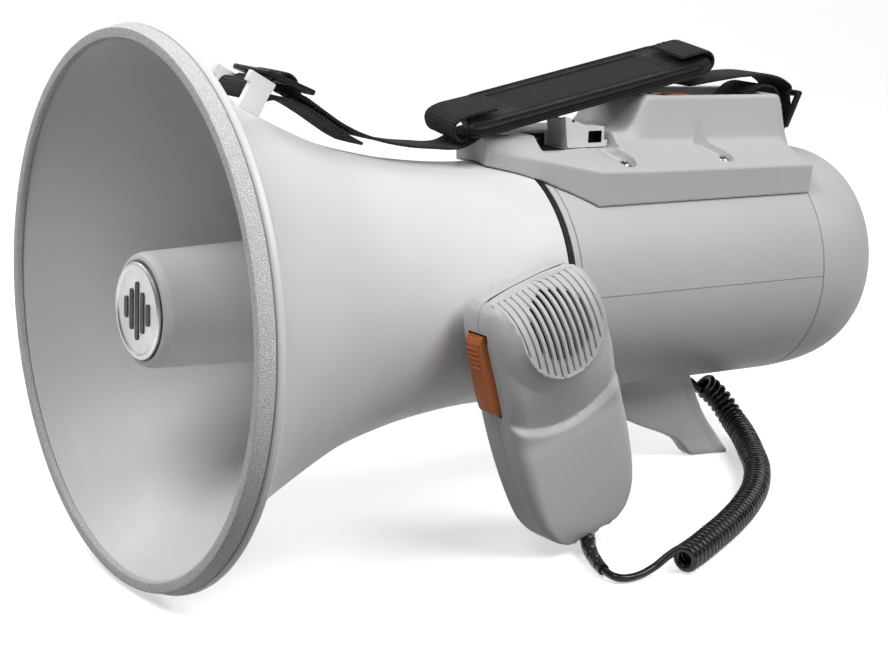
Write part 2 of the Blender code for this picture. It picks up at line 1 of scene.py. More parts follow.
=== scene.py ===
"""Looks of the shoulder-type megaphone with a hand microphone on a curly cord.

Shapes are written in the megaphone's own frame, in millimetres, as in its CAD source: the origin is the centre
of the bell's mouth, +Y runs back along the horn's axis, +Z is up and +X is the microphone's side. PLACE tilts
that frame onto the floor and turns it into metres.
"""
import bpy
import bmesh
import math
from mathutils import Matrix, Vector
from mathutils.geometry import interpolate_bezier


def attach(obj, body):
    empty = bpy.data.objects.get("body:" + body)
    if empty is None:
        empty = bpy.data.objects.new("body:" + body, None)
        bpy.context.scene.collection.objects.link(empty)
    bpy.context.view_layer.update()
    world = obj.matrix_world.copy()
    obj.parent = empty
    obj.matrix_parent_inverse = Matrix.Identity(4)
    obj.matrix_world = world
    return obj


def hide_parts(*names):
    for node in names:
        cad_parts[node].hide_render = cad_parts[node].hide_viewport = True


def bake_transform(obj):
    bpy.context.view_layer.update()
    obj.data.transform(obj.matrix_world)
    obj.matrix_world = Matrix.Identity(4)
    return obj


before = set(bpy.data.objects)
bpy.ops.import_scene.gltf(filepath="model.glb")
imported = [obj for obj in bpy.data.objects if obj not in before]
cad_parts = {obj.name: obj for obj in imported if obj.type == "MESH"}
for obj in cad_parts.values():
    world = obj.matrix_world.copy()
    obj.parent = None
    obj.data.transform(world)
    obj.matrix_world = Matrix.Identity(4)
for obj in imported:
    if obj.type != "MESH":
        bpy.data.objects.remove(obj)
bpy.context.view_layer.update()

MM = 0.001
TILT = math.radians(3.919)
SIN, COS = math.sin(TILT), math.cos(TILT)
FACET = math.cos(math.pi / 36)            # the CAD's turned parts have 36 facets, so their flats sit lower
LIP_R = 117.6 * FACET
LIFT = SIN * 9.6 + COS * LIP_R
Y_MIDDLE = 186.4
BODY_R, BODY_WALL = 54.7, 2.8
BODY_FRONT, BODY_REAR, CAP_END = 194.0, 336.8, 380.4
WEBBING, WEBBING_THICK = 24.0, 1.4
COIL_R, WIRE_R = 6.5, 1.75
PLACE = (Matrix.Translation((0, -Y_MIDDLE * MM, LIFT * MM)) @ Matrix.Rotation(-TILT, 4, "X")
         @ Matrix.Scale(MM, 4))


def circle(count):
    """Angles of evenly spaced points round a circle."""
    return [2 * math.pi * k / count for k in range(count)]


def floor_z(y):
    return (SIN * y - LIFT) / COS


def on_floor(x, y, height):
    return Vector((x, y, floor_z(y) + height))


# ---------------------------------------------------------------- camera
def camera_matrix(place, azimuth, elevation, roll):
    """Camera at place, looking along the azimuth and elevation of the megaphone's own frame."""
    back = Vector((math.sin(azimuth) * math.cos(elevation), -math.cos(azimuth) * math.cos(elevation),
                   math.sin(elevation)))
    right = Vector((0, 0, 1)).cross(back).normalized()
    up = back.cross(right)
    right, up = (right * math.cos(roll) + up * math.sin(roll), up * math.cos(roll) - right * math.sin(roll))
    turn = Matrix.Rotation(-TILT, 3, "X") @ Matrix((right, up, back)).transposed()
    return Matrix.Translation(PLACE @ place) @ turn.to_4x4()


camera_data = bpy.data.cameras.new("camera")
camera_data.sensor_width, camera_data.lens = 36.0, 85.135
camera = bpy.data.objects.new("camera", camera_data)
camera.matrix_world = camera_matrix(Vector((765.3, -360.1, 177.8)), *map(math.radians, (55.9, 12.2, 2.2)))
bpy.context.scene.collection.objects.link(camera)
bpy.context.scene.camera = camera


# ---------------------------------------------------------------- materials
class Nodes:
    """Small helper that writes a material's node tree."""
    def __init__(self, name):
        self.material = bpy.data.materials.new(name)
        self.material.use_nodes = True
        self.tree = self.material.node_tree
        self.shader = self.tree.nodes["Principled BSDF"]

    def add(self, kind, inputs=None, **settings):
        node = self.tree.nodes.new("ShaderNode" + kind)
        for key, value in settings.items():
            setattr(node, key, value)
        for key, value in (inputs or {}).items():
            if isinstance(value, bpy.types.NodeSocket):
                self.tree.links.new(value, node.inputs[key])
            else:
                node.inputs[key].default_value = value
        return node

    def place(self, source="Object"):
        return self.add("TexCoord").outputs[source]

    def noise(self, scale, detail=2.0, rough=0.5, vector=None, distortion=0.0):
        return self.add("TexNoise", {"Vector": vector or self.place(), "Scale": scale, "Detail": detail,
                                     "Roughness": rough, "Distortion": distortion}).outputs["Fac"]

    def math(self, operation, a, b=0.0):
        return self.add("Math", {0: a, 1: b}, operation=operation).outputs[0]

    def spread(self, value, low, high, start=0.3, end=0.7):
        return self.add("MapRange", {"Value": value, "From Min": start, "From Max": end, "To Min": low,
                                     "To Max": high}).outputs["Result"]

    def mix(self, share, a, b):
        node = self.add("Mix", data_type="RGBA")
        for index, value in ((0, share), (6, a), (7, b)):
            if isinstance(value, bpy.types.NodeSocket):
                self.tree.links.new(value, node.inputs[index])
            else:
                node.inputs[index].default_value = value if index == 0 else (*value, 1.0)
        return node.outputs[2]

    def bump(self, height, distance, strength=1.0, after=None):
        inputs = {"Height": height, "Distance": distance, "Strength": strength}
        if after:
            inputs["Normal"] = after
        return self.add("Bump", inputs).outputs["Normal"]

    def wire(self, **links):
        for key, value in links.items():
            socket = self.shader.inputs[key.replace("_", " ").title().replace("Ior", "IOR")]
            if isinstance(value, bpy.types.NodeSocket):
                self.tree.links.new(value, socket)
            else:
                socket.default_value = value
        return self.material


def tint(colour, share):
    return tuple(min(1.0, c * share) for c in colour)


def plastic(name, colour, rough=0.42, grain=0.00006, grain_scale=2600, mottle=0.035, dirt=0.90):
    """Moulded plastic: fine spark-eroded grain, slow colour drift and dull handling marks."""
    n = Nodes(name)
    slow = n.spread(n.noise(14, 4, 0.6), 0, 1)
    base = n.mix(slow, tint(colour, 1 - mottle), tint(colour, 1 + mottle * 0.6))
    marks = n.spread(n.noise(55, 6, 0.7, distortion=0.6), 0, 0.35, 0.60, 0.78)
    base = n.mix(marks, base, tint(colour, dirt))
    fine = n.noise(grain_scale, 3, 0.6)
    coarse = n.noise(grain_scale / 3.7, 2, 0.5)
    height = n.math("ADD", fine, coarse)
    return n.wire(base_color=base, roughness=n.spread(n.noise(120, 5, 0.65), rough - 0.05, rough + 0.10),
                  normal=n.bump(height, grain), specular_ior_level=0.42)


def leather_grain(name, colour):
    """Moulded imitation-leather grain of the rim."""
    n = Nodes(name)
    warp = n.add("TexVoronoi", {"Vector": n.place(), "Scale": 1250, "Randomness": 1.0},
                 feature="DISTANCE_TO_EDGE").outputs["Distance"]
    pebble = n.spread(warp, 0, 1, 0.0, 0.28)
    fine = n.noise(3200, 3, 0.6)
    base = n.mix(pebble, tint(colour, 0.72), tint(colour, 1.15))
    first = n.bump(pebble, 0.00026)
    return n.wire(base_color=base, roughness=n.spread(pebble, 0.62, 0.42, 0, 1),
                  normal=n.bump(fine, 0.00005, after=first))


def rubber(name, colour, rough=0.5, scale=1500, bump=0.00008, shine=0.2):
    n = Nodes(name)
    slow = n.spread(n.noise(30, 5, 0.65), 0, 1)
    base = n.mix(slow, tint(colour, 0.75), tint(colour, 1.3))
    dust = n.spread(n.noise(240, 6, 0.75), 0, 0.5, 0.62, 0.80)
    base = n.mix(dust, base, tint(colour, 2.0))
    return n.wire(base_color=base, roughness=n.spread(n.noise(160, 4, 0.6), rough - 0.08, rough + 0.12),
                  normal=n.bump(n.noise(scale, 4, 0.6), bump), specular_ior_level=shine)


def woven(name, colour, along=1.5, across=1.05, deep=0.00022):
    """Woven tape or cloth drawn in the piece's own lengthwise and crosswise millimetres."""
    n = Nodes(name)
    split = n.add("SeparateXYZ", {0: n.place("UV")})
    u, v = split.outputs[0], split.outputs[1]
    wobble = n.math("MULTIPLY", n.noise(300, 3, 0.6), 0.9)
    pick = n.math("SINE", n.math("ADD", n.math("MULTIPLY", u, 2 * math.pi / along), wobble))
    warp_u = n.math("MULTIPLY", n.math("SINE", n.math("MULTIPLY", u, math.pi / along)), 1.5)
    end = n.math("SINE", n.math("ADD", n.math("MULTIPLY", v, 2 * math.pi / across), warp_u))
    thread = n.math("MULTIPLY", n.math("ADD", pick, 1.15), n.math("ADD", end, 1.35))
    fuzz = n.noise(5200, 4, 0.7)
    share = n.spread(thread, 0, 1, 0.1, 3.6)
    base = n.mix(share, tint(colour, 0.45), tint(colour, 1.7))
    base = n.mix(n.spread(n.noise(420, 5, 0.7), 0, 0.4), base, tint(colour, 2.4))
    first = n.bump(thread, deep)
    return n.wire(base_color=base, roughness=n.spread(share, 0.95, 0.7, 0, 1), sheen_weight=0.1,
                  normal=n.bump(fuzz, 0.00006, after=first), specular_ior_level=0.22)


def metal(name, colour, rough=0.28, brushed=(1, 1, 1)):
    n = Nodes(name)
    stretch = n.add("Mapping", {"Vector": n.place(), "Scale": brushed}).outputs[0]
    streak = n.noise(900, 5, 0.7, vector=stretch)
    base = n.mix(n.spread(n.noise(60, 5, 0.6), 0, 1), tint(colour, 0.82), tint(colour, 1.08))
    return n.wire(base_color=base, metallic=1.0, roughness=n.spread(streak, rough - 0.08, rough + 0.14),
                  normal=n.bump(streak, 0.00002))


SHELL, PALE = (0.55, 0.55, 0.55), (0.80, 0.80, 0.80)
LOOK = {
    "bell": plastic("bell_plastic", PALE, 0.36, 0.00004, 2200, 0.02, 0.93),
    "rim": leather_grain("rim_grain", (0.88, 0.88, 0.87)),
    "shell": plastic("shell_plastic", SHELL, 0.44, 0.00007, 2600),
    "mic": plastic("mic_plastic", (0.56, 0.56, 0.565), 0.46, 0.00008, 3000),
    "selector": plastic("selector_plastic", (0.74, 0.74, 0.73), 0.34, 0.00004),
    "orange": plastic("orange_plastic", (0.72, 0.20, 0.035), 0.40, 0.00005, 2600, 0.06, 0.72),
    "lever": plastic("lever_plastic", (0.46, 0.125, 0.026), 0.44, 0.00007, 2600, 0.06, 0.66),
    "black": rubber("black_plastic", (0.007, 0.007, 0.008), 0.36),
    "pad": rubber("pad_rubber", (0.006, 0.006, 0.007), 0.46, 1100, 0.00010, 0.16),
    "cord": rubber("cord_jacket", (0.007, 0.006, 0.007), 0.26, 2400, 0.00003, 0.4),
    "gasket": rubber("gasket_rubber", (0.018, 0.018, 0.018), 0.6),
    # painted shade: a near-black look for recesses and boxes where shadow falls; the hidden cutters carry it too
    "void": rubber("painted_recess_shade", (0.006, 0.006, 0.006), 0.7),
    "webbing": woven("strap_webbing", (0.008, 0.008, 0.009)),
    "panel": woven("pad_cloth", (0.007, 0.007, 0.007), 1.1, 1.1, 0.00018),
    "cloth": rubber("grille_cloth", (0.008, 0.008, 0.009), 0.85, 4200, 0.0003),
    "screw": metal("screw_plating", (0.72, 0.72, 0.70), 0.22),
    "steel": metal("steel", (0.55, 0.55, 0.54), 0.32, (1, 12, 1)),
    "badge": metal("badge_plate", (0.60, 0.60, 0.60), 0.38, (10, 1, 1)),
    "emblem": rubber("emblem_ink", (0.02, 0.02, 0.022), 0.35),
    "board": plastic("board_green", (0.03, 0.16, 0.07), 0.35),
    "brass": metal("diaphragm_film", (0.70, 0.55, 0.28), 0.35),
    "magnet": rubber("magnet_ferrite", (0.06, 0.06, 0.065), 0.5),
    "cell": plastic("cell_jacket", (0.10, 0.16, 0.32), 0.3),
}


# ---------------------------------------------------------------- shape helpers
def finish(name, bm, looks, body="megaphone", stands_for=(), slot=None, sharp=32, weld=1e-4, place=PLACE):
    """Turn a bmesh drawn in the megaphone's millimetres into a piece that rides on a body."""
    if weld:
        bmesh.ops.remove_doubles(bm, verts=bm.verts, dist=weld)
    bmesh.ops.recalc_face_normals(bm, faces=bm.faces)
    bm.transform(place)
    mesh = bpy.data.meshes.new(name)
    bm.to_mesh(mesh)
    bm.free()
    obj = bpy.data.objects.new(name, mesh)
    bpy.context.scene.collection.objects.link(obj)
    mesh.shade_smooth()
    mesh.set_sharp_from_angle(angle=math.radians(sharp))
    for look in looks.split():
        mesh.materials.append(LOOK[look])
    if body:
        settle(obj, body, stands_for, slot)
    return obj


def settle(obj, body, stands_for=(), slot=None):
    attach(obj, body)
    if stands_for:
        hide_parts(*stands_for)
        slot or stands_for[0]
    return obj


def rounded(points, closed=True, steps=5):
    """Outline whose corners, given as (u, v, radius), are rounded off."""
    out, count = [], len(points)
    for i, (u, v, radius) in enumerate(points):
        corner = Vector((u, v))
        if radius == 0 or (not closed and i in (0, count - 1)):
            out.append(corner)
            continue
        a, b = Vector(points[i - 1][:2]) - corner, Vector(points[(i + 1) % count][:2]) - corner
        reach = min(radius / math.tan(a.angle(b) / 2), 0.49 * a.length, 0.49 * b.length)
        first, last = corner + a.normalized() * reach, corner + b.normalized() * reach
        for k in range(steps + 1):
            t = k / steps
            out.append(first * (1 - t) ** 2 + corner * 2 * t * (1 - t) + last * t * t)
    return out


def smooth_path(points, count):
    """Evenly spaced points on a smooth curve through the route points."""
    points = [Vector(p) for p in points]
    dense = []
    for i in range(len(points) - 1):
        before = points[i - 1] if i else points[i] * 2 - points[i + 1]
        after = points[i + 2] if i + 2 < len(points) else points[i + 1] * 2 - points[i]
        a, b = points[i], points[i + 1]
        step = (b - a).length / 3
        dense += interpolate_bezier(a, a + (b - before).normalized() * step, b - (after - a).normalized() * step,
                                    b, 24)[:-1]
    dense.append(points[-1])
    lengths = [0.0]
    for a, b in zip(dense, dense[1:]):
        lengths.append(lengths[-1] + (b - a).length)
    result, k = [], 0
    for i in range(count):
        want = lengths[-1] * i / (count - 1)
        while k < len(dense) - 2 and lengths[k + 1] < want:
            k += 1
        share = (want - lengths[k]) / max(lengths[k + 1] - lengths[k], 1e-9)
        result.append(dense[k].lerp(dense[k + 1], min(max(share, 0.0), 1.0)))
    return result


def through(points, count):
    """Smooth outline of count points through 2D points."""
    return [Vector(p[:2]) for p in smooth_path([(*p, 0) for p in points], count)]


def upright(profile, centre, base, steps, reach=lambda r, z, a: r):
    """Rings of (z, r) points turned about an upright axis."""
    return [[(centre[0] + reach(r, z, a) * math.cos(a), centre[1] + reach(r, z, a) * math.sin(a), base + z)
             for z, r in profile] for a in circle(steps)]


def ease(value, low=0.0, high=1.0):
    t = min(max((value - low) / (high - low), 0.0), 1.0)
    return t * t * (3 - 2 * t)


def between(table, at):
    """Row of a table of (position, values...) interpolated at a position."""
    for first, second in zip(table, table[1:]):
        if at <= second[0]:
            t = min(max((at - first[0]) / (second[0] - first[0]), 0.0), 1.0)
            return [a + (b - a) * t for a, b in zip(first[1:], second[1:])]
    return list(table[-1][1:])


def skin(bm, rings, closed_ring=True, closed_run=False, caps=False, material=None):
    """Quads between rings of points; returns the rings of vertices."""
    rows = [[bm.verts.new(p) for p in ring] for ring in rings]
    if closed_run:
        rows.append(rows[0])
    count = len(rows[0])
    for a, first in enumerate(rows[:-1]):
        second = rows[a + 1]
        for i in range(count if closed_ring else count - 1):
            j = (i + 1) % count
            face = bm.faces.new((first[i], first[j], second[j], second[i]))
            if material is not None:
                face.material_index = material(a, i)
    if caps:
        bm.faces.new(rows[0][::-1])
        bm.faces.new(rows[-1])
    return rows


def lathe(name, profile, look, body="megaphone", stands_for=(), steps=144, arc=None, closed=True, centre=(0, 0),
          keep=False):
    """Piece turned about the horn's axis from (y, r) points."""
    bm = bmesh.new()
    start, turn = (0, 2 * math.pi) if arc is None else (arc[0], arc[1] - arc[0])
    rings = []
    for k in range(steps if arc is None else steps + 1):
        a = start + turn * k / steps
        rings.append([(centre[0] + r * math.cos(a), y, centre[1] + r * math.sin(a)) for y, r in profile])
    skin(bm, rings, closed, arc is None, caps=arc is not None)
    if keep:
        return bm
    return finish(name, bm, look, body, stands_for)


def box_mesh(bm, low, high, to=lambda x, y, z: (x, y, z)):
    ring = [(low[0], low[1]), (high[0], low[1]), (high[0], high[1]), (low[0], high[1])]
    rows = [[bm.verts.new(to(x, y, z)) for x, y in ring] for z in (low[2], high[2])]
    faces = [rows[0][::-1], rows[1]] + [(rows[0][i], rows[0][(i + 1) % 4], rows[1][(i + 1) % 4], rows[1][i])
                                       for i in range(4)]
    for face in faces:
        bm.faces.new(face)


def applied(obj):
    """Replace the mesh by what its modifiers make of it."""
    mesh = bpy.data.meshes.new_from_object(obj.evaluated_get(bpy.context.evaluated_depsgraph_get()))
    obj.modifiers.clear()
    obj.data = mesh
    return obj


def softened(node, look, body, bevel, segments):
    """A CAD node's own shape with its hard edges rounded, as a moulding tool leaves them."""
    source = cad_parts[node].data
    bm = bmesh.new()
    bm.from_mesh(source)
    bmesh.ops.remove_doubles(bm, verts=bm.verts, dist=2e-6)
    bmesh.ops.dissolve_limit(bm, angle_limit=math.radians(2), verts=bm.verts, edges=bm.edges)
    edges = [e for e in bm.edges if len(e.link_faces) == 2 and e.calc_face_angle(0) > math.radians(28)]
    bmesh.ops.bevel(bm, geom=edges, offset=bevel * MM, segments=segments, profile=0.5, affect="EDGES",
                    clamp_overlap=True)
    return finish(node + "_piece", bm, look, body, (node,), place=Matrix.Identity(4), weld=1e-7, sharp=40)


def frames_along(path, up=(0, 0, 1)):
    """Each point of a path with its run and a direction square to it, without twist."""
    side, last = None, len(path) - 1
    for i, point in enumerate(path):
        run = (path[min(i + 1, last)] - path[max(i - 1, 0)]).normalized()
        if side is None:
            side = run.cross(Vector(up)).normalized()
        side = (side - run * side.dot(run)).normalized()
        yield point, run, side


def tube_mesh(path, radius, sides):
    """Round tube along a path."""
    bm = bmesh.new()
    skin(bm, [[point + (side * math.cos(a) + run.cross(side) * math.sin(a)) * radius for a in circle(sides)]
              for point, run, side in frames_along(path, (0.3, 0.2, 0.9))], caps=True)
    return bm


# ---------------------------------------------------------------- microphone's frame
MIC_Y, MIC_Z, MIC_TILT = 165.0, -40.0, math.radians(19.0)
MIC_BACK, MIC_FRONT, MIC_SPLIT, MIC_TOP, MIC_END = 62.6, 98.4, 76.0, -60.0, 61.0
GRILLE_DOWN, GRILLE_R, SLOT_PITCH = -42.5, 14.6, 3.2


def on_mic(x, across, down):
    """Point on the microphone: across runs to its rear side, down runs to its cord end."""
    return Vector((x, MIC_Y + across * math.cos(MIC_TILT) + down * math.sin(MIC_TILT),
                   MIC_Z + across * math.sin(MIC_TILT) - down * math.cos(MIC_TILT)))


# ---------------------------------------------------------------- cord
PLUG_X, PLUG_Z = -17.0, -63.4
BOOT_ROUTE = [on_mic(76.6, 0, 62.2), on_mic(77.2, -0.6, 63.6), on_floor(82.3, 181.7, 4.4), on_floor(89.3, 177.5, 3.9),
              on_floor(100.9, 172.0, 3.5), on_floor(109.9, 168.9, 3.1)]
WIRE_ROUTE = [on_floor(117.6, 168.7, 2.5), on_floor(120.6, 172.3, 1.95), on_floor(121.4, 179.3, 2.1),
              on_floor(121.6, 187.2, 4.2), on_floor(122.9, 192.4, 7.8)]
COIL_ROUTE = [on_floor(x, y, 6.65) for x, y in ((127.2, 197.6), (122.5, 208.6), (115.3, 222.6), (105.7, 240.6),
                                                (92.7, 261.2), (76.7, 281.8), (55.3, 302.5), (33, 318.5))]
COIL_ROUTE += [on_floor(13, 331.0, 7.8), Vector((-2, 337.4, -84.0)), Vector((-11.5, 335.0, -74.5)),
               Vector((-16, 327.0, -66.4))]
PLUG_ENTRY = [Vector((PLUG_X, 318.4, PLUG_Z - 0.6)), Vector((PLUG_X, 313.6, PLUG_Z))]
TURN_STEPS, PITCH, RAIL = 18, 2 * WIRE_R * 1.03, 899
HELIX_R = COIL_R - WIRE_R


def helix(route, start_angle):
    """Centreline of the curly cord's turns round its route."""
    rail = smooth_path(route, RAIL + 1)
    length = sum((b - a).length for a, b in zip(rail, rail[1:]))
    turns = int(length / PITCH)
    frames = [(point, side, side.cross(run)) for point, run, side in frames_along(rail)]
    out, total = [], turns * TURN_STEPS
    for k in range(total + 1):
        share = k / total
        at = share * RAIL
        i = min(int(at), RAIL - 1)
        point, s, u = (before.lerp(after, at - i) for before, after in zip(frames[i], frames[i + 1]))
        s, u = s.normalized(), u.normalized()
        a = start_angle - 2 * math.pi * k / TURN_STEPS
        out.append(point + (s * math.cos(a) + u * math.sin(a)) * HELIX_R)
    return out, turns


coil_points, TURNS = helix(COIL_ROUTE, math.radians(130))
boot_line = smooth_path(BOOT_ROUTE, 24)
wire_line = smooth_path([boot_line[-1]] + WIRE_ROUTE + [coil_points[1], coil_points[3]], 46)
tail_line = smooth_path([coil_points[-6], coil_points[-3]] + PLUG_ENTRY, 24)
cord_path = boot_line[:-1] + wire_line[:-1] + coil_points[3:-6] + tail_line
cord_length = sum((b - a).length for a, b in zip(cord_path, cord_path[1:])) * MM
cord = finish("curly_cord", tube_mesh(cord_path, WIRE_R, 10), "cord", None, sharp=60)
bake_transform(cord)
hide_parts("mic_wire", "cord_coil")


# strain relief of staggered segments
boot_bm, rings = bmesh.new(), []
for i, (point, run, side) in enumerate(frames_along(smooth_path(BOOT_ROUTE, 61))):
    groove = 8 < i < 57 and (i - 8) % 8 in (5, 6, 7)
    spread = (i - 8) // 8 % 2 * math.pi / 2            # the webs between segments turn by a quarter each time
    rings.append([point + (side * math.cos(a) + run.cross(side) * math.sin(a)) * (3.6 - 1.1 * i / 60)
                  * (0.78 * (1 + 0.24 * (abs(math.cos(a + spread)) > 0.75)) if groove else 1.0)
                  for a in circle(24)])
skin(boot_bm, rings, caps=True)
boot = finish("mic_boot", boot_bm, "cord", "microphone", ("mic_cord_boot",), sharp=38)

plug_profile = rounded([(0, 0, 0), (0, 5.6, 0.5), (1.2, 6.0, 0.4), (3.4, 6.0, 0.3), (3.8, 5.5, 0.2), (4.6, 5.5, 0.2),
                        (5.0, 6.0, 0.3), (7.6, 6.0, 0.3), (8.0, 5.5, 0.2), (8.8, 5.5, 0.2), (9.2, 6.0, 0.3),
                        (13.2, 6.0, 0.8), (14.2, 4.5, 0.5), (17, 4.2, 0.4), (17.4, 3.4, 0.2), (18.2, 3.4, 0.2),
                        (18.6, 3.9, 0.3), (20.2, 3.7, 0.3), (20.6, 3.0, 0.2), (22.0, 3.0, 0.3), (22.1, 0, 0)], False, 3)
plug = lathe("cord_plug_piece", [(292.3 + y, r) for y, r in plug_profile], "black", "megaphone", ("cord_plug",),
             steps=48, closed=False, centre=(PLUG_X, PLUG_Z))
print("cord", round(cord_length, 3), "m in", TURNS, "turns")


# ---------------------------------------------------------------- horn
flare = [(18.5, 101.6), (24, 97.2), (38, 88.6), (55, 80), (68, 73.9), (84, 67.2), (102, 62.2), (126, 57.6), (156, 54.7),
         (186.6, 54.7)]
outer = [p for p in through([(11.9, 112.6), (14.0, 107.2)] + flare, 100)]
inner = [Vector((p.x, p.y - 2.7)) for p in through([(10, 107.3)] + flare[1:], 90)]
lip = rounded([(10, 104.6, 0), (2.9, 110.6, 0.5), (2.9, 112.9, 0.4), (7.1, 113.6, 0.3), (7.1, LIP_R - 0.7, 0.2),
               (7.8, LIP_R, 0.6), (9.9, LIP_R, 0.9), (11.3, 115.6, 0.6), (11.9, 112.6, 0)], False, 6)
lathe("bell", lip + outer[1:] + inner[::-1][:-1], "bell", stands_for=("horn_bell",), steps=192)
rim = rounded([(0.9, 109.9, 0.3), (0.0, 110.9, 0.7), (0.0, 114.9, 0.45), (6.35, 116.5, 0.35), (6.35, 114.3, 0.2),
               (2.3, 113.6, 0.2), (2.3, 109.9, 0.2)], True, 5)
lathe("rim_trim", rim, "rim", stands_for=("rim_bumper",), steps=192)

cup_line = rounded([(9.8, 0, 0), (9.8, 18.6, 0.4), (7.9, 20.6, 0.4), (7.6, 21.4, 0.3), (8.2, 23.0, 0.9),
                    (11, 24.0, 1.5), (56, 25.6, 9), (100, 28.0, 9), (150, 32.0, 0.4), (150, 29.8, 0.2),
                    (100, 25.8, 8), (56, 23.4, 8), (24, 22.0, 2), (14, 18, 1), (11.4, 0, 0)], False, 5)
lathe("cup", cup_line, "bell", stands_for=("reflector_cup",), steps=96, closed=False)

badge_line = rounded([(6.4, 0, 0), (6.4, 17.6, 0.2), (5.8, 18.3, 0.3), (5.8, 19.4, 0.3), (6.4, 20.2, 0.3),
                      (7.3, 20.2, 0.1), (7.3, 0, 0)], False, 4)
badge_bm = lathe("badge", badge_line, "badge", closed=False, steps=96, keep=True)
BAR_PITCH, BAR_HALF = 5.0, 1.55
for k, tall in enumerate((4.6, 8.6, 12.2, 8.6, 4.6)):      # level bars, a plain sound emblem
    x = (k - 2) * BAR_PITCH
    outline = rounded([(x - BAR_HALF, -tall, 1.5), (x + BAR_HALF, -tall, 1.5), (x + BAR_HALF, tall, 1.5),
                       (x - BAR_HALF, tall, 1.5)], True, 4)
    skin(badge_bm, [[(u, y, v) for u, v in outline] for y in (6.5, 6.0)], caps=True, material=lambda a, i: 1)
    for face in list(badge_bm.faces)[-2:]:
        face.material_index = 1
finish("badge", badge_bm, "badge emblem", stands_for=("reflector_badge",))

pipe_bm = lathe("throat", rounded([(34, 13.4, 0.6), (34, 15.4, 0.9), (110, 13.2, 8), (176, 11.6, 4), (182, 15, 3),
                                   (183.2, 51.4, 0.4), (186.6, 51.4, 0.3), (186.6, 9.0, 0.2), (110, 11.2, 4)], True, 4),
                "bell", steps=64, keep=True)
for k in range(4):
    turn = Matrix.Rotation(math.radians(45 + 90 * k), 3, "Y")
    stay = rounded([(52, 14.0, 1.5), (52, 22.9, 0.3), (100, 25.2, 3), (148, 29.2, 1.5), (148, 11.9, 0.3)], True, 4)
    skin(pipe_bm, [[turn @ Vector((s, y, r)) for y, r in stay] for s in (-1, 1)], caps=True)
finish("throat", pipe_bm, "bell", stands_for=("throat_pipe",))

lathe("gasket_ring", rounded([(187.0, 46, 0.2), (187.0, 55.0, 0.8), (190.0, 55.0, 0.8), (190.0, 46, 0.2)]),
      "gasket", stands_for=("horn_gasket",), steps=128)
lathe("driver_collar", rounded([(190.3, 9.4, 0.3), (190.3, 54.6, 0.5), (193.6, 54.6, 0.3), (193.6, 50.8, 0.2),
                                (199.5, 50.8, 0.3), (199.5, 47.6, 0.3), (194.6, 44, 0.5), (194.6, 9.4, 0.2)]),
      "shell", stands_for=("driver_flange",), steps=128)

# ---------------------------------------------------------------- body
inside = BODY_R - BODY_WALL
wall = rounded([(BODY_FRONT, inside, 0.3), (BODY_FRONT, BODY_R, 0.6), (BODY_REAR, BODY_R, 0.6),
                (BODY_REAR, inside, 0.3)])
split = 0.14 / BODY_R
lathe("body_upper", wall, "shell", stands_for=("body_upper_shell",), steps=80, arc=(split, math.pi - split))
lathe("body_lower", wall, "shell", stands_for=("body_lower_shell",), steps=80,
      arc=(math.pi + split, 2 * math.pi - split))

dome = through([(344, 54.6), (352, 54.3), (360, 53.2), (367, 51.2), (372.4, 48.2), (375.8, 44.4), (378.0, 38.6),
                (379.4, 30), (380.1, 18), (CAP_END, 0)], 52)
dome_in = [Vector((p.x - 3.4 * min(1.0, 1.4 - p.y / 60), max(p.y - 3.0, 0))) for p in dome]
cap_line = rounded([(337.2, 50.8, 0.2), (337.2, BODY_R, 0.8), (344, 54.6, 0)], False, 5) + dome[1:] + dome_in[::-1]
cap_line += rounded([(342, 51.4, 0), (339, 49.8, 0.5), (328.5, 48.2, 0.5), (328.5, 50.6, 0.5), (337.2, 50.8, 0)],
                    False, 3)[1:-1]
cap_bm = lathe("cap", cap_line, "shell", closed=False, steps=160, keep=True)
for vert in cap_bm.verts:                  # its axis rises a little behind the body
    vert.co.z += 0.05 * max(0.0, vert.co.y - 337.2)
finish("cap", cap_bm, "shell", "cap", ("rear_cap",))

foot_levels = [(0.0, 236, 297, 3.4, 8.4), (0.28, 246, 302.5, 3.2, 8.8), (0.55, 270, 309, 3.2, 9.4),
               (0.80, 296, 317.5, 3.4, 10.4), (1.0, 305, 324, 4.4, 12.0)]
fronts = through([(s, f) for s, f, *_ in foot_levels], 33)
backs = through([(s, b) for s, _, b, *_ in foot_levels], 33)
foot_bm, rings = bmesh.new(), []
for k in range(30):
    share = k / 29
    front = between([(p.x, p.y) for p in fronts], share)[0]
    back = between([(p.x, p.y) for p in backs], share)[0]
    thin, wide = between([(s, t, w) for s, _, _, t, w in foot_levels], share)
    if share > 0.97:                       # the sole's rim is rounded
        front, back, thin, wide = front + 0.6, back - 0.6, thin - 0.5, wide - 0.6
    plan = rounded([(-thin, front, 2.6), (thin, front, 2.6), (wide * 0.72, back - 6, 4), (wide, back, 1.6),
                    (-wide, back, 1.6), (-wide * 0.72, back - 6, 4)], True, 5)
    rings.append([(u, v, -50 + (floor_z(v) + 50) * share) for u, v in plan])
skin(foot_bm, rings, caps=True)
finish("foot", foot_bm, "bell", stands_for=("rear_foot",), sharp=50)

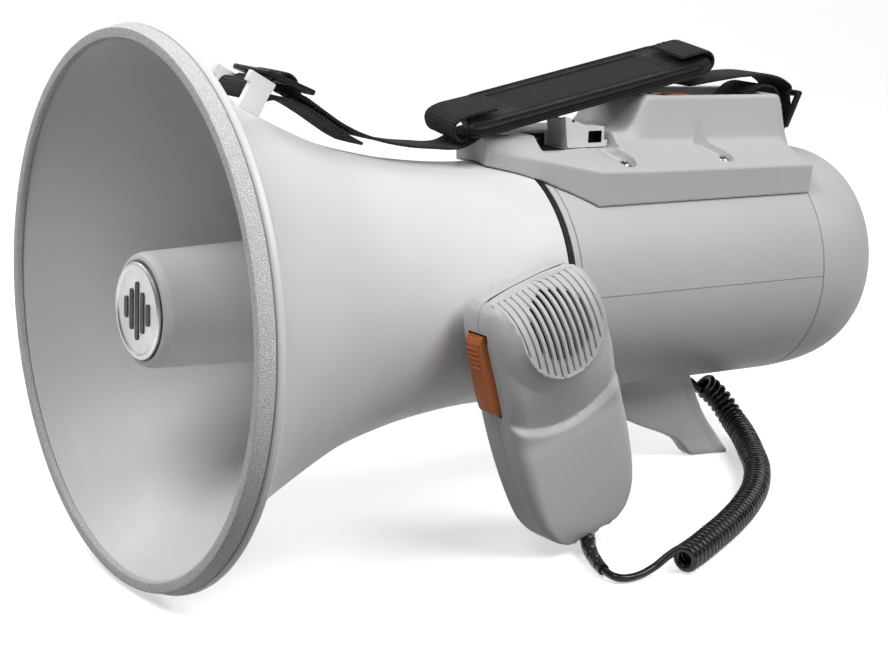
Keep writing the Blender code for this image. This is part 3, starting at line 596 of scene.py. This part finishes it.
# ---------------------------------------------------------------- saddle over the body
SADDLE_CLEAR = 55.2
SCREW_X, SCREW_Y = 34.0, (229.0, 287.0)
SCREWS = [(sx, y) for y in SCREW_Y for sx in (1, -1)]
KNOB = (9.5, 275.0)
saddle_rows = [(168.6, 11.0, 12.0, 60.5, 11.0, 65.5, 9.0, 66.6), (171.5, 14.0, 15.2, 60.0, 12.5, 66.4, 10.0, 67.6),
               (196.0, 32.0, 33.6, 56.4, 22.5, 65.2, 19.5, 67.6), (211.0, 40.6, 42.3, 53.6, 24.0, 64.6, 20.5, 67.8),
               (236.0, 40.6, 42.3, 52.8, 24.4, 63.6, 21.0, 68.0), (331.0, 40.6, 42.3, 51.8, 24.6, 62.0, 22.5, 68.0),
               (337.0, 40.6, 42.3, 51.4, 24.6, 57.5, 21.5, 62.0)]


def roof(y):
    """Extra height of the block round the control well above the saddle's roof."""
    rise = ease(y, 237.0, 252.0) ** 1.4 * 16.2
    fall = 1 - ease(y, 330.0, 337.5)
    return rise * fall - 0.018 * max(0, y - 252) * fall


def saddle_section(y):
    half, bx, bz, sx, sz, tx, tz = between(saddle_rows, y)
    top = tz + roof(y)
    side = [(half, math.sqrt(54.0 ** 2 - half ** 2), 0.6), (bx, bz, 1.6), (sx, sz, 4.5 if top > 72 else 1.4),
            (tx, top, 2.4 if top > 72 else 1.2)]
    ring = [(-u, v, r) for u, v, r in side] + [(u, v, r) for u, v, r in reversed(side)]
    base = [(half * f, math.sqrt(54.0 ** 2 - (half * f) ** 2)) for f in (0.75, 0.5, 0.25, 0, -0.25, -0.5, -0.75)]
    return [(u, y, v) for u, v in rounded(ring, True, 4)] + [(u, y, v) for u, v in base]


def cutter(name, rings):
    bm = bmesh.new()
    skin(bm, rings, caps=True)
    obj = finish(name, bm, "void", None)
    obj.hide_render = True
    return obj


def prism(name, outline, low, high):
    """Upright cutter with a rounded outline in (x, y)."""
    return cutter(name, [[(*p, z) for p in outline] for z in (low, high)])


def boxed(x0, y0, x1, y1, radius):
    return rounded([(x0, y0, radius), (x1, y0, radius), (x1, y1, radius), (x0, y1, radius)], True, 5)


def carve(obj, tool):
    modifier = obj.modifiers.new(tool.name, "BOOLEAN")
    modifier.operation, modifier.solver, modifier.object = "DIFFERENCE", "EXACT", tool


saddle_bm = bmesh.new()
ys = [168.6, 169.2, 170.2] + [171.5 + 1.5 * k for k in range(110)] + [336.4, 337.0]
skin(saddle_bm, [saddle_section(y) for y in ys], caps=True)
saddle = finish("saddle", saddle_bm, "shell", None)
tools = [prism("well", boxed(-14.2, 257.5, 19.6, 327.5, 4.0), 71.8, 95),
         prism("recess", boxed(4.4, 190.4, 27.0, 231.4, 1.2), 61.0, 80)]
for k, (sx, y) in enumerate(SCREWS):
    ends = [Vector((sx * SCREW_X, y)), Vector((sx * (SCREW_X - 5.6), y - 6.0))]
    run = (ends[1] - ends[0]).normalized()
    around = [ends[k // 12] + Matrix.Rotation(math.radians(-90 + 180 * (k // 12) + 180 * (k % 12) / 11), 2)
              @ (-run) * 5.2 for k in range(24)]
    floor_at = [53.6 + 0.75 * max(0.0, (p - ends[0]).dot(run) - 3.0) for p in around]
    tools.append(cutter("screw_hollow_%d" % (k + 1), [[(p.x, p.y, z) for p, z in zip(around, floor_at)],
                                                      [(p.x, p.y, 76.0) for p in around]]))
tools.append(cutter("body_clearance", [[(SADDLE_CLEAR * math.cos(a), y, SADDLE_CLEAR * math.sin(a))
                                        for a in circle(120)] for y in (150, 345)]))
for tool in tools:
    carve(saddle, tool)
remesh = saddle.modifiers.new("skin", "REMESH")
remesh.mode, remesh.voxel_size, remesh.use_smooth_shade = "VOXEL", 0.62 * MM, True
soften = saddle.modifiers.new("soften", "SMOOTH")
soften.factor, soften.iterations = 0.5, 3
applied(saddle)
saddle.data.materials.clear()
saddle.data.materials.append(LOOK["shell"])
for tool in tools:
    bpy.data.objects.remove(tool)
settle(saddle, "megaphone", ("control_housing",))

# painted shade: a near-black box in the front part of the recess, where the selector has left it, stands in for the
# shadow there
painted_shade_box = bmesh.new()
box_mesh(painted_shade_box, (4.9, 190.9, 61.15), (21.5, 205.2, 61.45))
box_mesh(painted_shade_box, (4.9, 190.9, 61.4), (5.2, 205.2, 66.8))
box_mesh(painted_shade_box, (4.9, 190.9, 61.4), (20.0, 191.2, 66.8))
finish("recess_painted_shade_box", painted_shade_box, "void", slot="control_housing")
shelf = bmesh.new()
for low, high in (((5.0, 228.3, 61.2), (19.0, 230.8, 64.4)), ((5.0, 205.4, 61.1), (19.5, 207.0, 61.4))):
    box_mesh(shelf, low, high)
bmesh.ops.bevel(shelf, geom=shelf.edges[:], offset=0.25, segments=2, affect="EDGES")
finish("recess_stop", shelf, "selector", slot="control_housing")

# screws with a cross recess
for k, (sx, y) in enumerate(SCREWS):
    head = rounded([(0, 0, 0), (0, 1.5, 0.2), (15.6, 1.5, 0.2), (15.8, 3.45, 0.4), (17.2, 3.45, 1.0), (18.6, 1.9, 1.2),
                    (18.8, 0, 0)], False, 5)
    screw_bm = bmesh.new()
    skin(screw_bm, upright(head, (sx * SCREW_X, y), 38, 48), False, True)
    screw = finish("screw_%d" % (k + 1), screw_bm, "screw", None)
    cross = bmesh.new()
    for turn in (25, 115):
        spin = Matrix.Rotation(math.radians(turn + 40 * k), 2)
        corners = [spin @ Vector(c) for c in ((-2.0, -0.4), (2.0, -0.4), (2.0, 0.4), (-2.0, 0.4))]
        low = [spin @ Vector(c) for c in ((-0.8, -0.25), (0.8, -0.25), (0.8, 0.25), (-0.8, 0.25))]
        skin(cross, [[(sx * SCREW_X + c.x, y + c.y, 54.6) for c in low],
                     [(sx * SCREW_X + c.x, y + c.y, 57.4) for c in corners]], caps=True)
    tool = finish("cross", cross, "void", None)
    carve(screw, tool)
    screw.modifiers[-1].use_self = True
    applied(screw)
    bpy.data.objects.remove(tool)
    settle(screw, "megaphone", ("saddle_screw_%d" % (k + 1),))

knob_line = rounded([(0, 0, 0), (0, 2.8, 0.3), (0.4, 3.2, 0.2), (11.4, 3.2, 0.2), (11.6, 8.6, 0.2), (12.2, 9.3, 0.4),
                     (20.4, 9.3, 0.9), (21.3, 8.5, 0.5), (20.9, 7.9, 0.4), (21.2, 6.5, 1.5), (21.8, 0, 0)], False, 5)
knob_bm = bmesh.new()
skin(knob_bm, upright(knob_line, KNOB, 62, 216, lambda r, z, a: r + (
    0.14 * math.cos(36 * a) if 9.2 < r and z < 20 else 0)), False, True)       # a finely fluted rim
mark = rounded([(-0.55, 2.2, 0.5), (0.55, 2.2, 0.5), (0.55, 7.2, 0.5), (-0.55, 7.2, 0.5)], True, 3)
skin(knob_bm, [[(KNOB[0] + u, KNOB[1] - v, 83.0 + w) for u, v in mark] for w in (0.0, 0.72)], caps=True)
finish("knob", knob_bm, "orange", "knob", ("volume_knob",))

selector_bm = bmesh.new()
side = rounded([(207.6, 61.5, 0.3), (228, 61.5, 0.3), (228, 70.6, 0.5), (217.5, 71.2, 1.5), (207.5, 75.2, 0.5),
                (205.7, 75.0, 0.3)], True, 4)
skin(selector_bm, [[(x, u, v) for u, v in side] for x in (5.3, 5.6, 19.2, 19.6)], caps=True)
selector = finish("selector_block", selector_bm, "selector void", None)
slot_tools = [cutter("side_slot", [[(x, u, v) for u, v in boxed(219.0, 63.4, 226.6, 68.8, 0.5)] for x in (15.0, 25)]),
              cutter("top_groove", [[(u, y, v) for u, v in boxed(8.6, 74.2, 16.4, 80, 0.3)] for y in (200, 214)]),
              cutter("finger_groove", [[(x, u, v) for u, v in boxed(209.5, 72.9, 211.0, 80, 0.4)] for x in (0, 25)])]
for tool in slot_tools:
    carve(selector, tool)
applied(selector)
for tool in slot_tools:
    bpy.data.objects.remove(tool)
for face in selector.data.polygons:                    # painted shade: the faces inside the slot in its side take the near-black look, for the shadow in it
    c = PLACE.inverted() @ face.center
    if 15.0 <= c.x < 19.0 and 218.8 < c.y < 226.8 and 63.2 < c.z < 69.0:
        face.material_index = 1
selector.data.shade_smooth()
selector.data.set_sharp_from_angle(angle=math.radians(30))
bevel = selector.modifiers.new("edges", "BEVEL")
bevel.width, bevel.segments, bevel.limit_method, bevel.angle_limit = 0.22 * MM, 2, "ANGLE", math.radians(40)
settle(selector, "selector", ("selector_slide",))


# ---------------------------------------------------------------- carrying strap
def local_frame(y, z, lean):
    """Point maker for (x, along, out): along runs to the rear and down by lean, out stands off upwards."""
    def place(x, along, out):
        return Vector((x, y + along * math.cos(lean) + out * math.sin(lean),
                       z - along * math.sin(lean) + out * math.cos(lean)))
    return place


def route_in(place, pairs):
    return [place(0, a, o)[1:] for a, o in pairs]


def ribbon(name, route, node, count, roll=0.0):
    """Webbing along (y, z) route points, with soft selvedges, a slight cup and threads drawn along it."""
    path = smooth_path([(0.0, y, z) for y, z in route], count)
    h, t = WEBBING / 2 - 0.1, WEBBING_THICK / 2
    section = [(-h, 0), (-h + 0.25, t * 0.8), (-h + 0.9, t)] + [(h * f, t) for f in (-0.6, -0.3, 0, 0.3, 0.6)]
    section += [(h - 0.9, t), (h - 0.25, t * 0.8), (h, 0), (h - 0.25, -t * 0.8), (h - 0.9, -t)]
    section += [(h * f, -t) for f in (0.6, 0.3, 0, -0.3, -0.6)] + [(-h + 0.9, -t), (-h + 0.25, -t * 0.8)]
    bm = bmesh.new()
    layer = bm.loops.layers.uv.new("threads")
    rings, lengths = [], [0.0]
    for i, point in enumerate(path):
        run = (path[min(i + 1, count - 1)] - path[max(i - 1, 0)]).normalized()
        if i:
            lengths.append(lengths[-1] + (point - path[i - 1]).length)
        up = Vector((1, 0, 0)).cross(run).normalized()
        wide = Vector((1, 0, -roll))
        ripple = 0.10 * math.sin(lengths[-1] / 7.0) + 0.08 * math.sin(lengths[-1] / 2.9)
        rings.append([point + wide * (u + ripple) + up * (v - 0.12 * (u / h) ** 2) for u, v in section])
    rows = skin(bm, rings, caps=True)
    number = {v: (a, i) for a, row in enumerate(rows) for i, v in enumerate(row)}
    around = [u for u, v in section]
    for face in bm.faces:
        for loop in face.loops:
            a, i = number[loop.vert]
            loop[layer].uv = (lengths[a], around[i])
    finish(name, bm, "webbing", "megaphone", (node,), weld=0, sharp=60)


def stitches(name, place, rows, roll=0.0):
    """Rows of lock stitches standing on webbing; each row is (along, out)."""
    bm = bmesh.new()
    for along, out in rows:
        for k in range(11):
            x = -10.5 + 2.1 * k
            ring = [(0.5 * math.cos(a), 0.22 * math.sin(a)) for a in circle(8)]
            steps = [(-0.85, 0.3), (-0.6, 0.9), (0.0, 1.0), (0.6, 0.9), (0.85, 0.3)]
            skin(bm, [[place(x + dx, along + u * s, out + v * s - (x + dx) * roll) for u, v in ring]
                      for dx, s in steps], caps=True)
    return finish(name, bm, "black", slot="front_webbing", weld=0)


on_lug = local_frame(48.2, 83.4, math.radians(29.5))
on_buckle = local_frame(68.0, 93.2, math.radians(22.4))
on_pad = local_frame(228.0, 86.6, -math.radians(11.3))
on_ring = local_frame(347.0, 74.5, -math.radians(65))
ROLL = math.tan(math.radians(8))

softened("front_strap_lug", "bell", "megaphone", 0.55, 3)
softened("front_buckle", "black", "megaphone", 0.75, 4)
softened("rear_buckle", "black", "megaphone", 0.8, 4)

ribbon(
    "front_strap", [(105, 66.2), (99, 69.2), (92, 73.6), (84, 78.6), (76, 83), (68, 86), (60, 86.2), (54.6, 84.9)]
    + route_in(on_lug, [(0.5, 3.7), (-2.4, 4.9), (-3.7, 7.8), (-2.4, 10.6), (0.8, 11.6)])
    + route_in(on_buckle, [(-10.3, -2.8), (-7.6, -2.5), (-2.7, 2.6), (2.7, 2.6), (7.6, -2.5), (11.5, -2.9)])
    + [(86, 80.6), (95, 75), (105, 70.3), (117, 66.8), (130, 64.4), (143, 63.2), (151, 62.6), (157, 63.2),
       (163, 65.6), (168, 68.3), (174, 69.3), (181, 69.6)], "front_webbing", 190)
ribbon("pad_loop_1", route_in(on_pad, [(-54, 4.6), (-64, 4.8), (-72, 4.6), (-77, 2.6), (-77.6, -1.4),
                                       (-75.6, -4.6), (-71, -5.2)]), "pad_loop_front", 60, ROLL)
ribbon("pad_loop_2", route_in(on_pad, [(52, 4.8), (60, 5.0), (67.5, 4.4), (70.4, 1.6), (69.8, -2.6), (65, -5.2),
                                       (55, -5.4)]), "pad_loop_rear", 60, ROLL)
ribbon(
    "rear_strap", [(284, 87.2), (292, 88.2), (302, 89.4), (316, 90.8), (330, 91.0), (339.5, 89.4), (345.6, 86.6)]
    + route_in(on_ring, [(9.4, 3.3), (6.6, 3.0), (0.4, -1.0), (-5.0, -2.7), (-9.0, -2.6), (-11.9, 0.2), (-9.6, 3.1),
                         (-4.0, 3.9)])
    + [(341.2, 78.0), (338.2, 83.0), (333.6, 85.4), (328, 85.2), (323, 82.8), (320.2, 78.8), (321.4, 75.2),
       (325.0, 74.4)], "rear_webbing", 170)
stitches("stitching_front", on_pad, ((-57.0, 5.35), (-60.0, 5.4)), ROLL)
stitches("stitching_rear", on_pad, ((56.0, 5.6), (59.0, 5.7)), ROLL)

# shoulder pad: moulded rubber with a raised rim, grooved sides and a woven panel let into the top
pad_plan = rounded([(19.4, -75.4, 5), (20.5, -62, 4), (20.5, 56, 5), (15.5, 65.6, 3), (-15.5, 65.6, 3),
                    (-20.5, 56, 5), (-20.5, -48, 4), (-15.5, -60, 3)], True, 6)


def pad_outline(inset, count=220):
    """Plan of the pad at an inset, by even steps round it."""
    loop = pad_plan + [pad_plan[0]]
    total = sum((b - a).length for a, b in zip(loop, loop[1:]))
    out, k, past = [], 0, 0.0
    for i in range(count):
        want = total * i / count
        while past + (loop[k + 1] - loop[k]).length < want:
            past += (loop[k + 1] - loop[k]).length
            k += 1
        run = loop[k + 1] - loop[k]
        p = loop[k] + run * ((want - past) / run.length)
        n = Vector((run.y, -run.x)).normalized()
        if n.dot(p - Vector((0, -4))) < 0:
            n = -n
        out.append(p - n * inset)
    return out


PANEL = (13.2, -44.0, 43.0)               # half width and ends of the woven panel


def pad_top_point(p, share):
    """Blend from the pad's rim towards the rectangle of the panel."""
    half, low, high = PANEL
    u = max(-half, min(half, p.x * 0.78))
    v = max(low, min(high, p.y * 0.86))
    edge = max(abs(u) / half, (v - (low + high) / 2) / ((high - low) / 2), ((low + high) / 2 - v) / ((high - low) / 2))
    mid = (low + high) / 2
    target = Vector((u / edge, mid + (v - mid) / edge))
    return p.lerp(target, share)


pad_bm = bmesh.new()
uv = pad_bm.loops.layers.uv.new("threads")
rings = []
for out, inset in ((-3.0, 3.2), (-3.0, 1.6), (-2.6, 0.7), (-1.7, 0.35), (-1.35, 0.75), (-1.0, 0.75), (-0.7, 0.2),
                   (0.2, 0.1), (0.5, 0.6), (0.85, 0.6), (1.15, 0.2), (1.7, 0.5), (2.4, 1.1), (2.75, 1.9),
                   (2.9, 2.6), (2.75, 3.2)):
    rings.append([on_pad(p.x, p.y, out - p.x * ROLL) for p in pad_outline(inset)])
base = pad_outline(3.2)
for share, out in ((0.25, 2.45), (0.6, 2.4), (0.90, 2.5), (0.955, 2.55), (0.985, 2.3), (1.0, 1.9)):
    rings.append([on_pad(p.x, p.y, out - p.x * ROLL) for p in (pad_top_point(q, share) for q in base)])
panel_edge = [pad_top_point(q, 1.0) for q in base]
for scale, out in ((0.975, 1.65), (0.9, 1.85), (0.6, 2.0), (0.25, 2.0)):
    mid = Vector((0, (PANEL[1] + PANEL[2]) / 2))
    rings.append([on_pad(p.x, p.y, out - p.x * ROLL) for p in (mid + (q - mid) * scale for q in panel_edge)])
skin(pad_bm, rings, caps=True, material=lambda a, i: 1 if a >= 21 else 0)
pad_bm.faces.ensure_lookup_table()
pad_bm.faces[-1].material_index = 1
for face in pad_bm.faces:
    for loop in face.loops:
        loop[uv].uv = (loop.vert.co.x, loop.vert.co.y)
pad = finish("shoulder_pad_piece", pad_bm, "pad panel", "megaphone", ("shoulder_pad",), weld=0, sharp=50)

# ---------------------------------------------------------------- hand microphone
# (share along it, half width) and (share, depth below MIC_BACK or MIC_FRONT) of the body and the grille panel
HALF_ROWS = [(0.0, 21.0), (0.03, 25.2), (0.10, 27.3), (0.30, 28.4), (0.52, 29.4), (0.72, 28.4), (0.86, 25.8),
             (0.94, 21.0), (0.985, 14.5), (1.0, 9.5)]
BACK_ROWS = [(0.0, 4.0), (0.03, 1.2), (0.10, 0.0), (0.86, 0.0), (0.94, 1.0), (0.985, 2.5), (1.0, 4.0)]
FRONT_ROWS = [(0.0, 16.8), (0.03, 11.4), (0.10, 7.0), (0.16, 6.1), (0.30, 5.9), (0.42, 6.7), (0.53, 10.0),
              (0.60, 10.0), (0.72, 10.6), (0.86, 11.8), (0.94, 13.2), (0.985, 15.0), (1.0, 17.0)]
PANEL_ROWS = [(0.0, 15.0), (0.015, 11.2), (0.03, 8.4), (0.06, 4.9), (0.10, 2.3), (0.16, 0.4), (0.24, 0.0),
              (0.60, 0.0), (1.0, 0.0)]
STATIONS = [0.0, 0.006, 0.014, 0.022, 0.03, 0.045, 0.06, 0.08] + [0.10 + 0.00826 * k for k in range(107)]
STATIONS += [0.986, 0.989, 0.992, 0.9945, 0.997, 0.999, 1.0]


def smooth_rows(rows):
    curve = [Vector(p[:2]) for p in smooth_path([(s * 100, v, 0) for s, v in rows], 400)]
    return [(p.x / 100, p.y) for p in curve]


half_curve, back_curve, front_curve, panel_curve = map(smooth_rows, (HALF_ROWS, BACK_ROWS, FRONT_ROWS,
                                                                     PANEL_ROWS))
SKIN_TOP = MIC_TOP + 1.5                  # the domed end cap rises a little over it
SEAM_HALF = 0.16
PANEL_HALF, PANEL_CENTRE = 21.0, GRILLE_DOWN + 1.3         # the panel's rounded end is a half circle
FLANK, SCOOP, SCOOP_DEPTH, CREASE = 7.2, 23.5, 12.6, 3.5   # falls beside and below the panel
SLOT_HALF, GROOVE_HALF, GROOVE_DEPTH, GROOVE_MARGIN = 0.74, 0.45, 1.5, 1.7
GROOVES = range(-6, 7)
ACROSS = sorted([g * SLOT_PITCH + e for g in GROOVES for e in (-0.84, -0.72, -0.5, -0.4, 0.4, 0.5, 0.72, 0.84)]
                + [g * SLOT_PITCH + SLOT_PITCH / 2 for g in range(-7, 7)])


def panel_distance(across, down):
    """Distance outside the raised grille panel's U-shaped edge; negative inside."""
    v = down - PANEL_CENTRE
    return (abs(across) if v < 0 else math.hypot(across, v)) - PANEL_HALF


def relief(across, down, share):
    """Height of the microphone's front over its plain form, and whether a slot is open there."""
    d, v = panel_distance(across, down), down - PANEL_CENTRE
    plain, panel = between(front_curve, share)[0], between(panel_curve, share)[0]
    straight = (v / (d + PANEL_HALF)) ** 2 if v > 0 else 0.0     # 1 right below the panel, 0 beside it
    out = max(d, 0.0)
    side = panel + (plain - panel) * min(1.0, out / FLANK) ** 0.8
    below = plain + (SCOOP_DEPTH * min(1.0, out / SCOOP) - plain) * (1 - ease(out, SCOOP, SCOOP + CREASE))
    step = 0.5 * (1 - ease(d, -0.3, 0.3))
    bead = 0.3 * ease(d, -1.3, -0.9) * (1 - ease(d, -0.4, 0.2))
    height = plain - (side + (below - side) * straight) + step + bead
    k = round(across / SLOT_PITCH)
    off, open_slot = abs(across - k * SLOT_PITCH), False
    if k in GROOVES and d < -GROOVE_MARGIN:
        open_slot = off < SLOT_HALF and math.hypot(k * SLOT_PITCH, down - GRILLE_DOWN) < GRILLE_R
        height -= GROOVE_DEPTH if open_slot or off < GROOVE_HALF else 0.0
    return height, open_slot


def mic_skin(front):
    """Points of one half of the microphone's skin at every station, and which of them are in open slots."""
    rings, slots = [], []
    for share in STATIONS:
        down = SKIN_TOP + (MIC_END - SKIN_TOP) * share
        half, = between(half_curve, share)
        b = MIC_BACK + between(back_curve, share)[0]
        f = MIC_FRONT - between(front_curve, share)[0] - 0.9
        if front:
            x0, xf, radius = MIC_SPLIT + SEAM_HALF, f, 7.0 + 1.6 * ease(share, 0.3, 0.6)
        else:
            x0, xf, radius = MIC_SPLIT - SEAM_HALF, b, 3.6
        towards = 1 if front else -1
        radius = min(radius, abs(xf - x0) - 5.2, half - 2)
        corner = [(half - radius + radius * math.cos(a), xf + towards * radius * (math.sin(a) - 1))
                  for a in (math.pi / 2 * j / 12 for j in range(13))]
        wall = [(half - 2.2, x0), (half, x0), (half, x0 + towards * 0.35), (half, MIC_SPLIT + towards * 2.3),
                (half, MIC_SPLIT + towards * 4.6)]
        right = wall + corner
        flat = half - radius
        middle = []
        for a in reversed(ACROSS):
            u = a if abs(a) < flat - 0.1 else math.copysign(flat - 0.1 + (abs(a) - flat + 0.1) * 0.001, a)
            middle.append((u, xf))
        ring, open_ = [], []
        for u, x in right + middle + [(-u, x) for u, x in reversed(right)]:
            lift, slot = relief(u, down, share) if front else (0.0, False)
            ring.append(on_mic(x + lift * ease(x, x0 + 4.6, f) if lift else x, u, down))
            open_.append(slot)
        rings.append(ring)
        slots.append(open_)
    return rings, slots


LEVER_WINDOW = (69.4, 80.4, -46.4, -9.0)   # x from, x to, down from, down to


def mic_shell(name, front, node):
    """One half of the microphone's body, with its slots and the lever's window left open."""
    rings, slots = mic_skin(front)
    bm = bmesh.new()
    rows = skin(bm, rings, closed_ring=False)
    gone = []
    place = {v: (a, i) for a, row in enumerate(rows) for i, v in enumerate(row)}
    count = len(rings[0])
    for face in bm.faces:
        spots = [place[v] for v in face.verts]
        if front and all(slots[a][i] for a, i in spots):
            gone.append(face)
            continue
        downs = [SKIN_TOP + (MIC_END - SKIN_TOP) * STATIONS[a] for a, _ in spots]
        x = sum(v.co.x for v in face.verts) / 4
        on_lever_side = all(i > count - 8 for _, i in spots)
        if on_lever_side and LEVER_WINDOW[0] < x < LEVER_WINDOW[1] and min(downs) > LEVER_WINDOW[2] \
                and max(downs) < LEVER_WINDOW[3]:
            gone.append(face)
    seam = MIC_SPLIT + (SEAM_HALF if front else -SEAM_HALF)
    for row, down, rise in ((rows[0], SKIN_TOP, -1.0), (rows[-1], MIC_END, 0.4)):     # domed end caps
        middle, last = on_mic(seam, 0, down), row
        along = (on_mic(seam, 0, down + 1) - middle) * rise
        for shrink in (0.96, 0.88, 0.72, 0.4):
            ring = [bm.verts.new(middle + (v.co - middle) * shrink + along * (1 - shrink ** 2)) for v in row]
            for i in range(count - 1):
                bm.faces.new((last[i], last[i + 1], ring[i + 1], ring[i]))
            last = ring
        bm.faces.new(last)
    bmesh.ops.delete(bm, geom=gone, context="FACES_ONLY")
    return finish(name, bm, "mic", "microphone", (node,), weld=0.01, sharp=38)


mic_shell("mic_front", True, "mic_front_shell")
mic_shell("mic_back", False, "mic_back_shell")
# painted shade: a near-black box behind the lever's window stands in for the shadow inside the microphone's well
well = bmesh.new()
for low, high in (((69.2, -27.4, -46.8), (80.7, -22.0, -45.9)), ((69.2, -27.4, -9.3), (80.7, -22.0, -8.6)),
                  ((68.6, -27.6, -46.8), (69.2, -22.0, -8.6)), ((80.7, -27.6, -46.8), (81.3, -22.0, -8.6)),
                  ((68.6, -22.6, -46.8), (81.3, -22.0, -8.6))):
    box_mesh(well, low, high, on_mic)
finish("lever_painted_shade", well, "void", "microphone", slot="mic_back_shell")

side = rounded([(-46.0, -29.8, 0.6), (-43.8, -31.5, 1.2), (-39, -32.0, 1.0), (-20, -33.6, 6), (-13.2, -33.3, 2.2),
                (-10.1, -30.6, 1.6), (-9.6, -24.7, 0.2), (-46.0, -24.7, 0.2)], True, 4)
lever_bm = bmesh.new()
skin(lever_bm, [[on_mic(x, u + (0.9 * abs(s) ** 3 if u < -28 else 0), v) for v, u in side]
                for x, s in ((69.7, 1), (69.9, 0.9), (70.5, 0.72), (71.5, 0.45), (74.8, 0), (78.1, 0.45), (79.1, 0.72),
                             (79.8, 0.9), (80.0, 1))], caps=True)
for k in range(5):
    down, level = -41.6 + 2.1 * k, -31.6 - 0.19 * k
    bump = [(0.62 * math.cos(a), 0.62 * math.sin(a)) for a in circle(12)]
    skin(lever_bm, [[on_mic(x, level + v * s, down + u * s) for u, v in bump]
                    for x, s in ((71.2, 0.2), (71.5, 0.8), (72.0, 1), (77.8, 1), (78.3, 0.8), (78.6, 0.2))], caps=True)
finish("lever", lever_bm, "lever", "lever", ("talk_lever",), sharp=40)
softened("mic_hook", "mic", "microphone", 0.3, 2)
softened("mic_holder", "shell", "megaphone", 0.6, 3)
softened("cord_socket", "shell", "megaphone", 0.7, 3)

cuff = rounded([(-1.6, 5.4, 0.3), (0.9, 4.9, 0.8), (0.9, 3.3, 0.2), (-1.6, 3.3, 0.2)], True, 4)
cuff_bm = bmesh.new()
rings = [[on_mic(76.6 + r * 0.95 * math.cos(a), r * 1.35 * math.sin(a), 61.0 + v) for v, r in cuff] for a in circle(40)]
skin(cuff_bm, rings, True, True)
finish("cord_cuff", cuff_bm, "mic", "microphone", slot="mic_back_shell")

# ---------------------------------------------------------------- what stays as the CAD has it
for look, names in {
    "black": "battery_holder talk_switch", "cloth": "mic_grille_cloth", "cell": " ".join(
        "battery_cell_%d" % k for k in range(1, 9)), "steel": "driver_top_plate driver_yoke rear_strap_bar "
    "volume_control mic_capsule heat_sink", "board": "amplifier_board battery_contact_plate mic_circuit_board",
        "brass": "driver_diaphragm", "magnet": "driver_magnet", "gasket": "cap_seal"}.items():
    for name in names.split():
        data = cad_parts[name].data
        data.materials.clear()
        data.materials.append(LOOK[look])


# ---------------------------------------------------------------- floor and light
floor_material = Nodes("floor_paper")
floor_material.wire(base_color=(0.90, 0.90, 0.90, 1.0), roughness=0.9, emission_color=(1.0, 1.0, 1.0, 1.0),
                    emission_strength=0.55)
sheet = bmesh.new()
backdrop = [(-2.4, 0.0), (1.2, 0.0)] + [(1.2 + 0.9 * math.sin(a), 0.9 - 0.9 * math.cos(a))
                                        for a in (math.pi / 2 * k / 16 for k in range(1, 17))] + [(2.1, 3.0)]
look_along = Matrix.Rotation(math.radians(56.7), 4, "Z")    # the backdrop rises behind the object
skin(sheet, [[look_along @ Vector((side, u, v - 0.0004)) for u, v in backdrop] for side in (-3.5, 3.5)], False)
floor = finish("floor", sheet, "bell", None, place=Matrix.Identity(4), sharp=180)
floor.data.materials.clear()
floor.data.materials.append(floor_material.material)
floor.visible_diffuse = False              # a cut-out's paper: it throws no light back up


def area_light(name, azimuth, elevation, distance, size, power, tone=(1, 1, 1), target=(0.02, 0.0, 0.10)):
    data = bpy.data.lights.new(name, "AREA")
    data.shape, data.size, data.energy, data.color = "DISK", size, power, tone
    light = bpy.data.objects.new(name, data)
    a, e = math.radians(azimuth), math.radians(elevation)
    target = Vector(target)
    light.location = target + Vector((math.sin(a) * math.cos(e), -math.cos(a) * math.cos(e), math.sin(e))) * distance
    light.rotation_euler = (target - light.location).to_track_quat("-Z", "Y").to_euler()
    bpy.context.scene.collection.objects.link(light)


area_light("key", 112, 46, 1.6, 1.0, 19.5)
area_light("front", 12, 58, 1.7, 0.9, 11.0)
area_light("low", 60, 4, 1.7, 1.0, 2.9)
area_light("left", -65, 45, 1.7, 1.0, 12.0)
world = bpy.data.worlds.new("studio")
bpy.context.scene.world = world
world.use_nodes = True
world.node_tree.nodes["Background"].inputs["Color"].default_value = (1.0, 1.0, 1.0, 1.0)
world.node_tree.nodes["Background"].inputs["Strength"].default_value = 0.05
bpy.context.scene.view_settings.view_transform = "Standard"
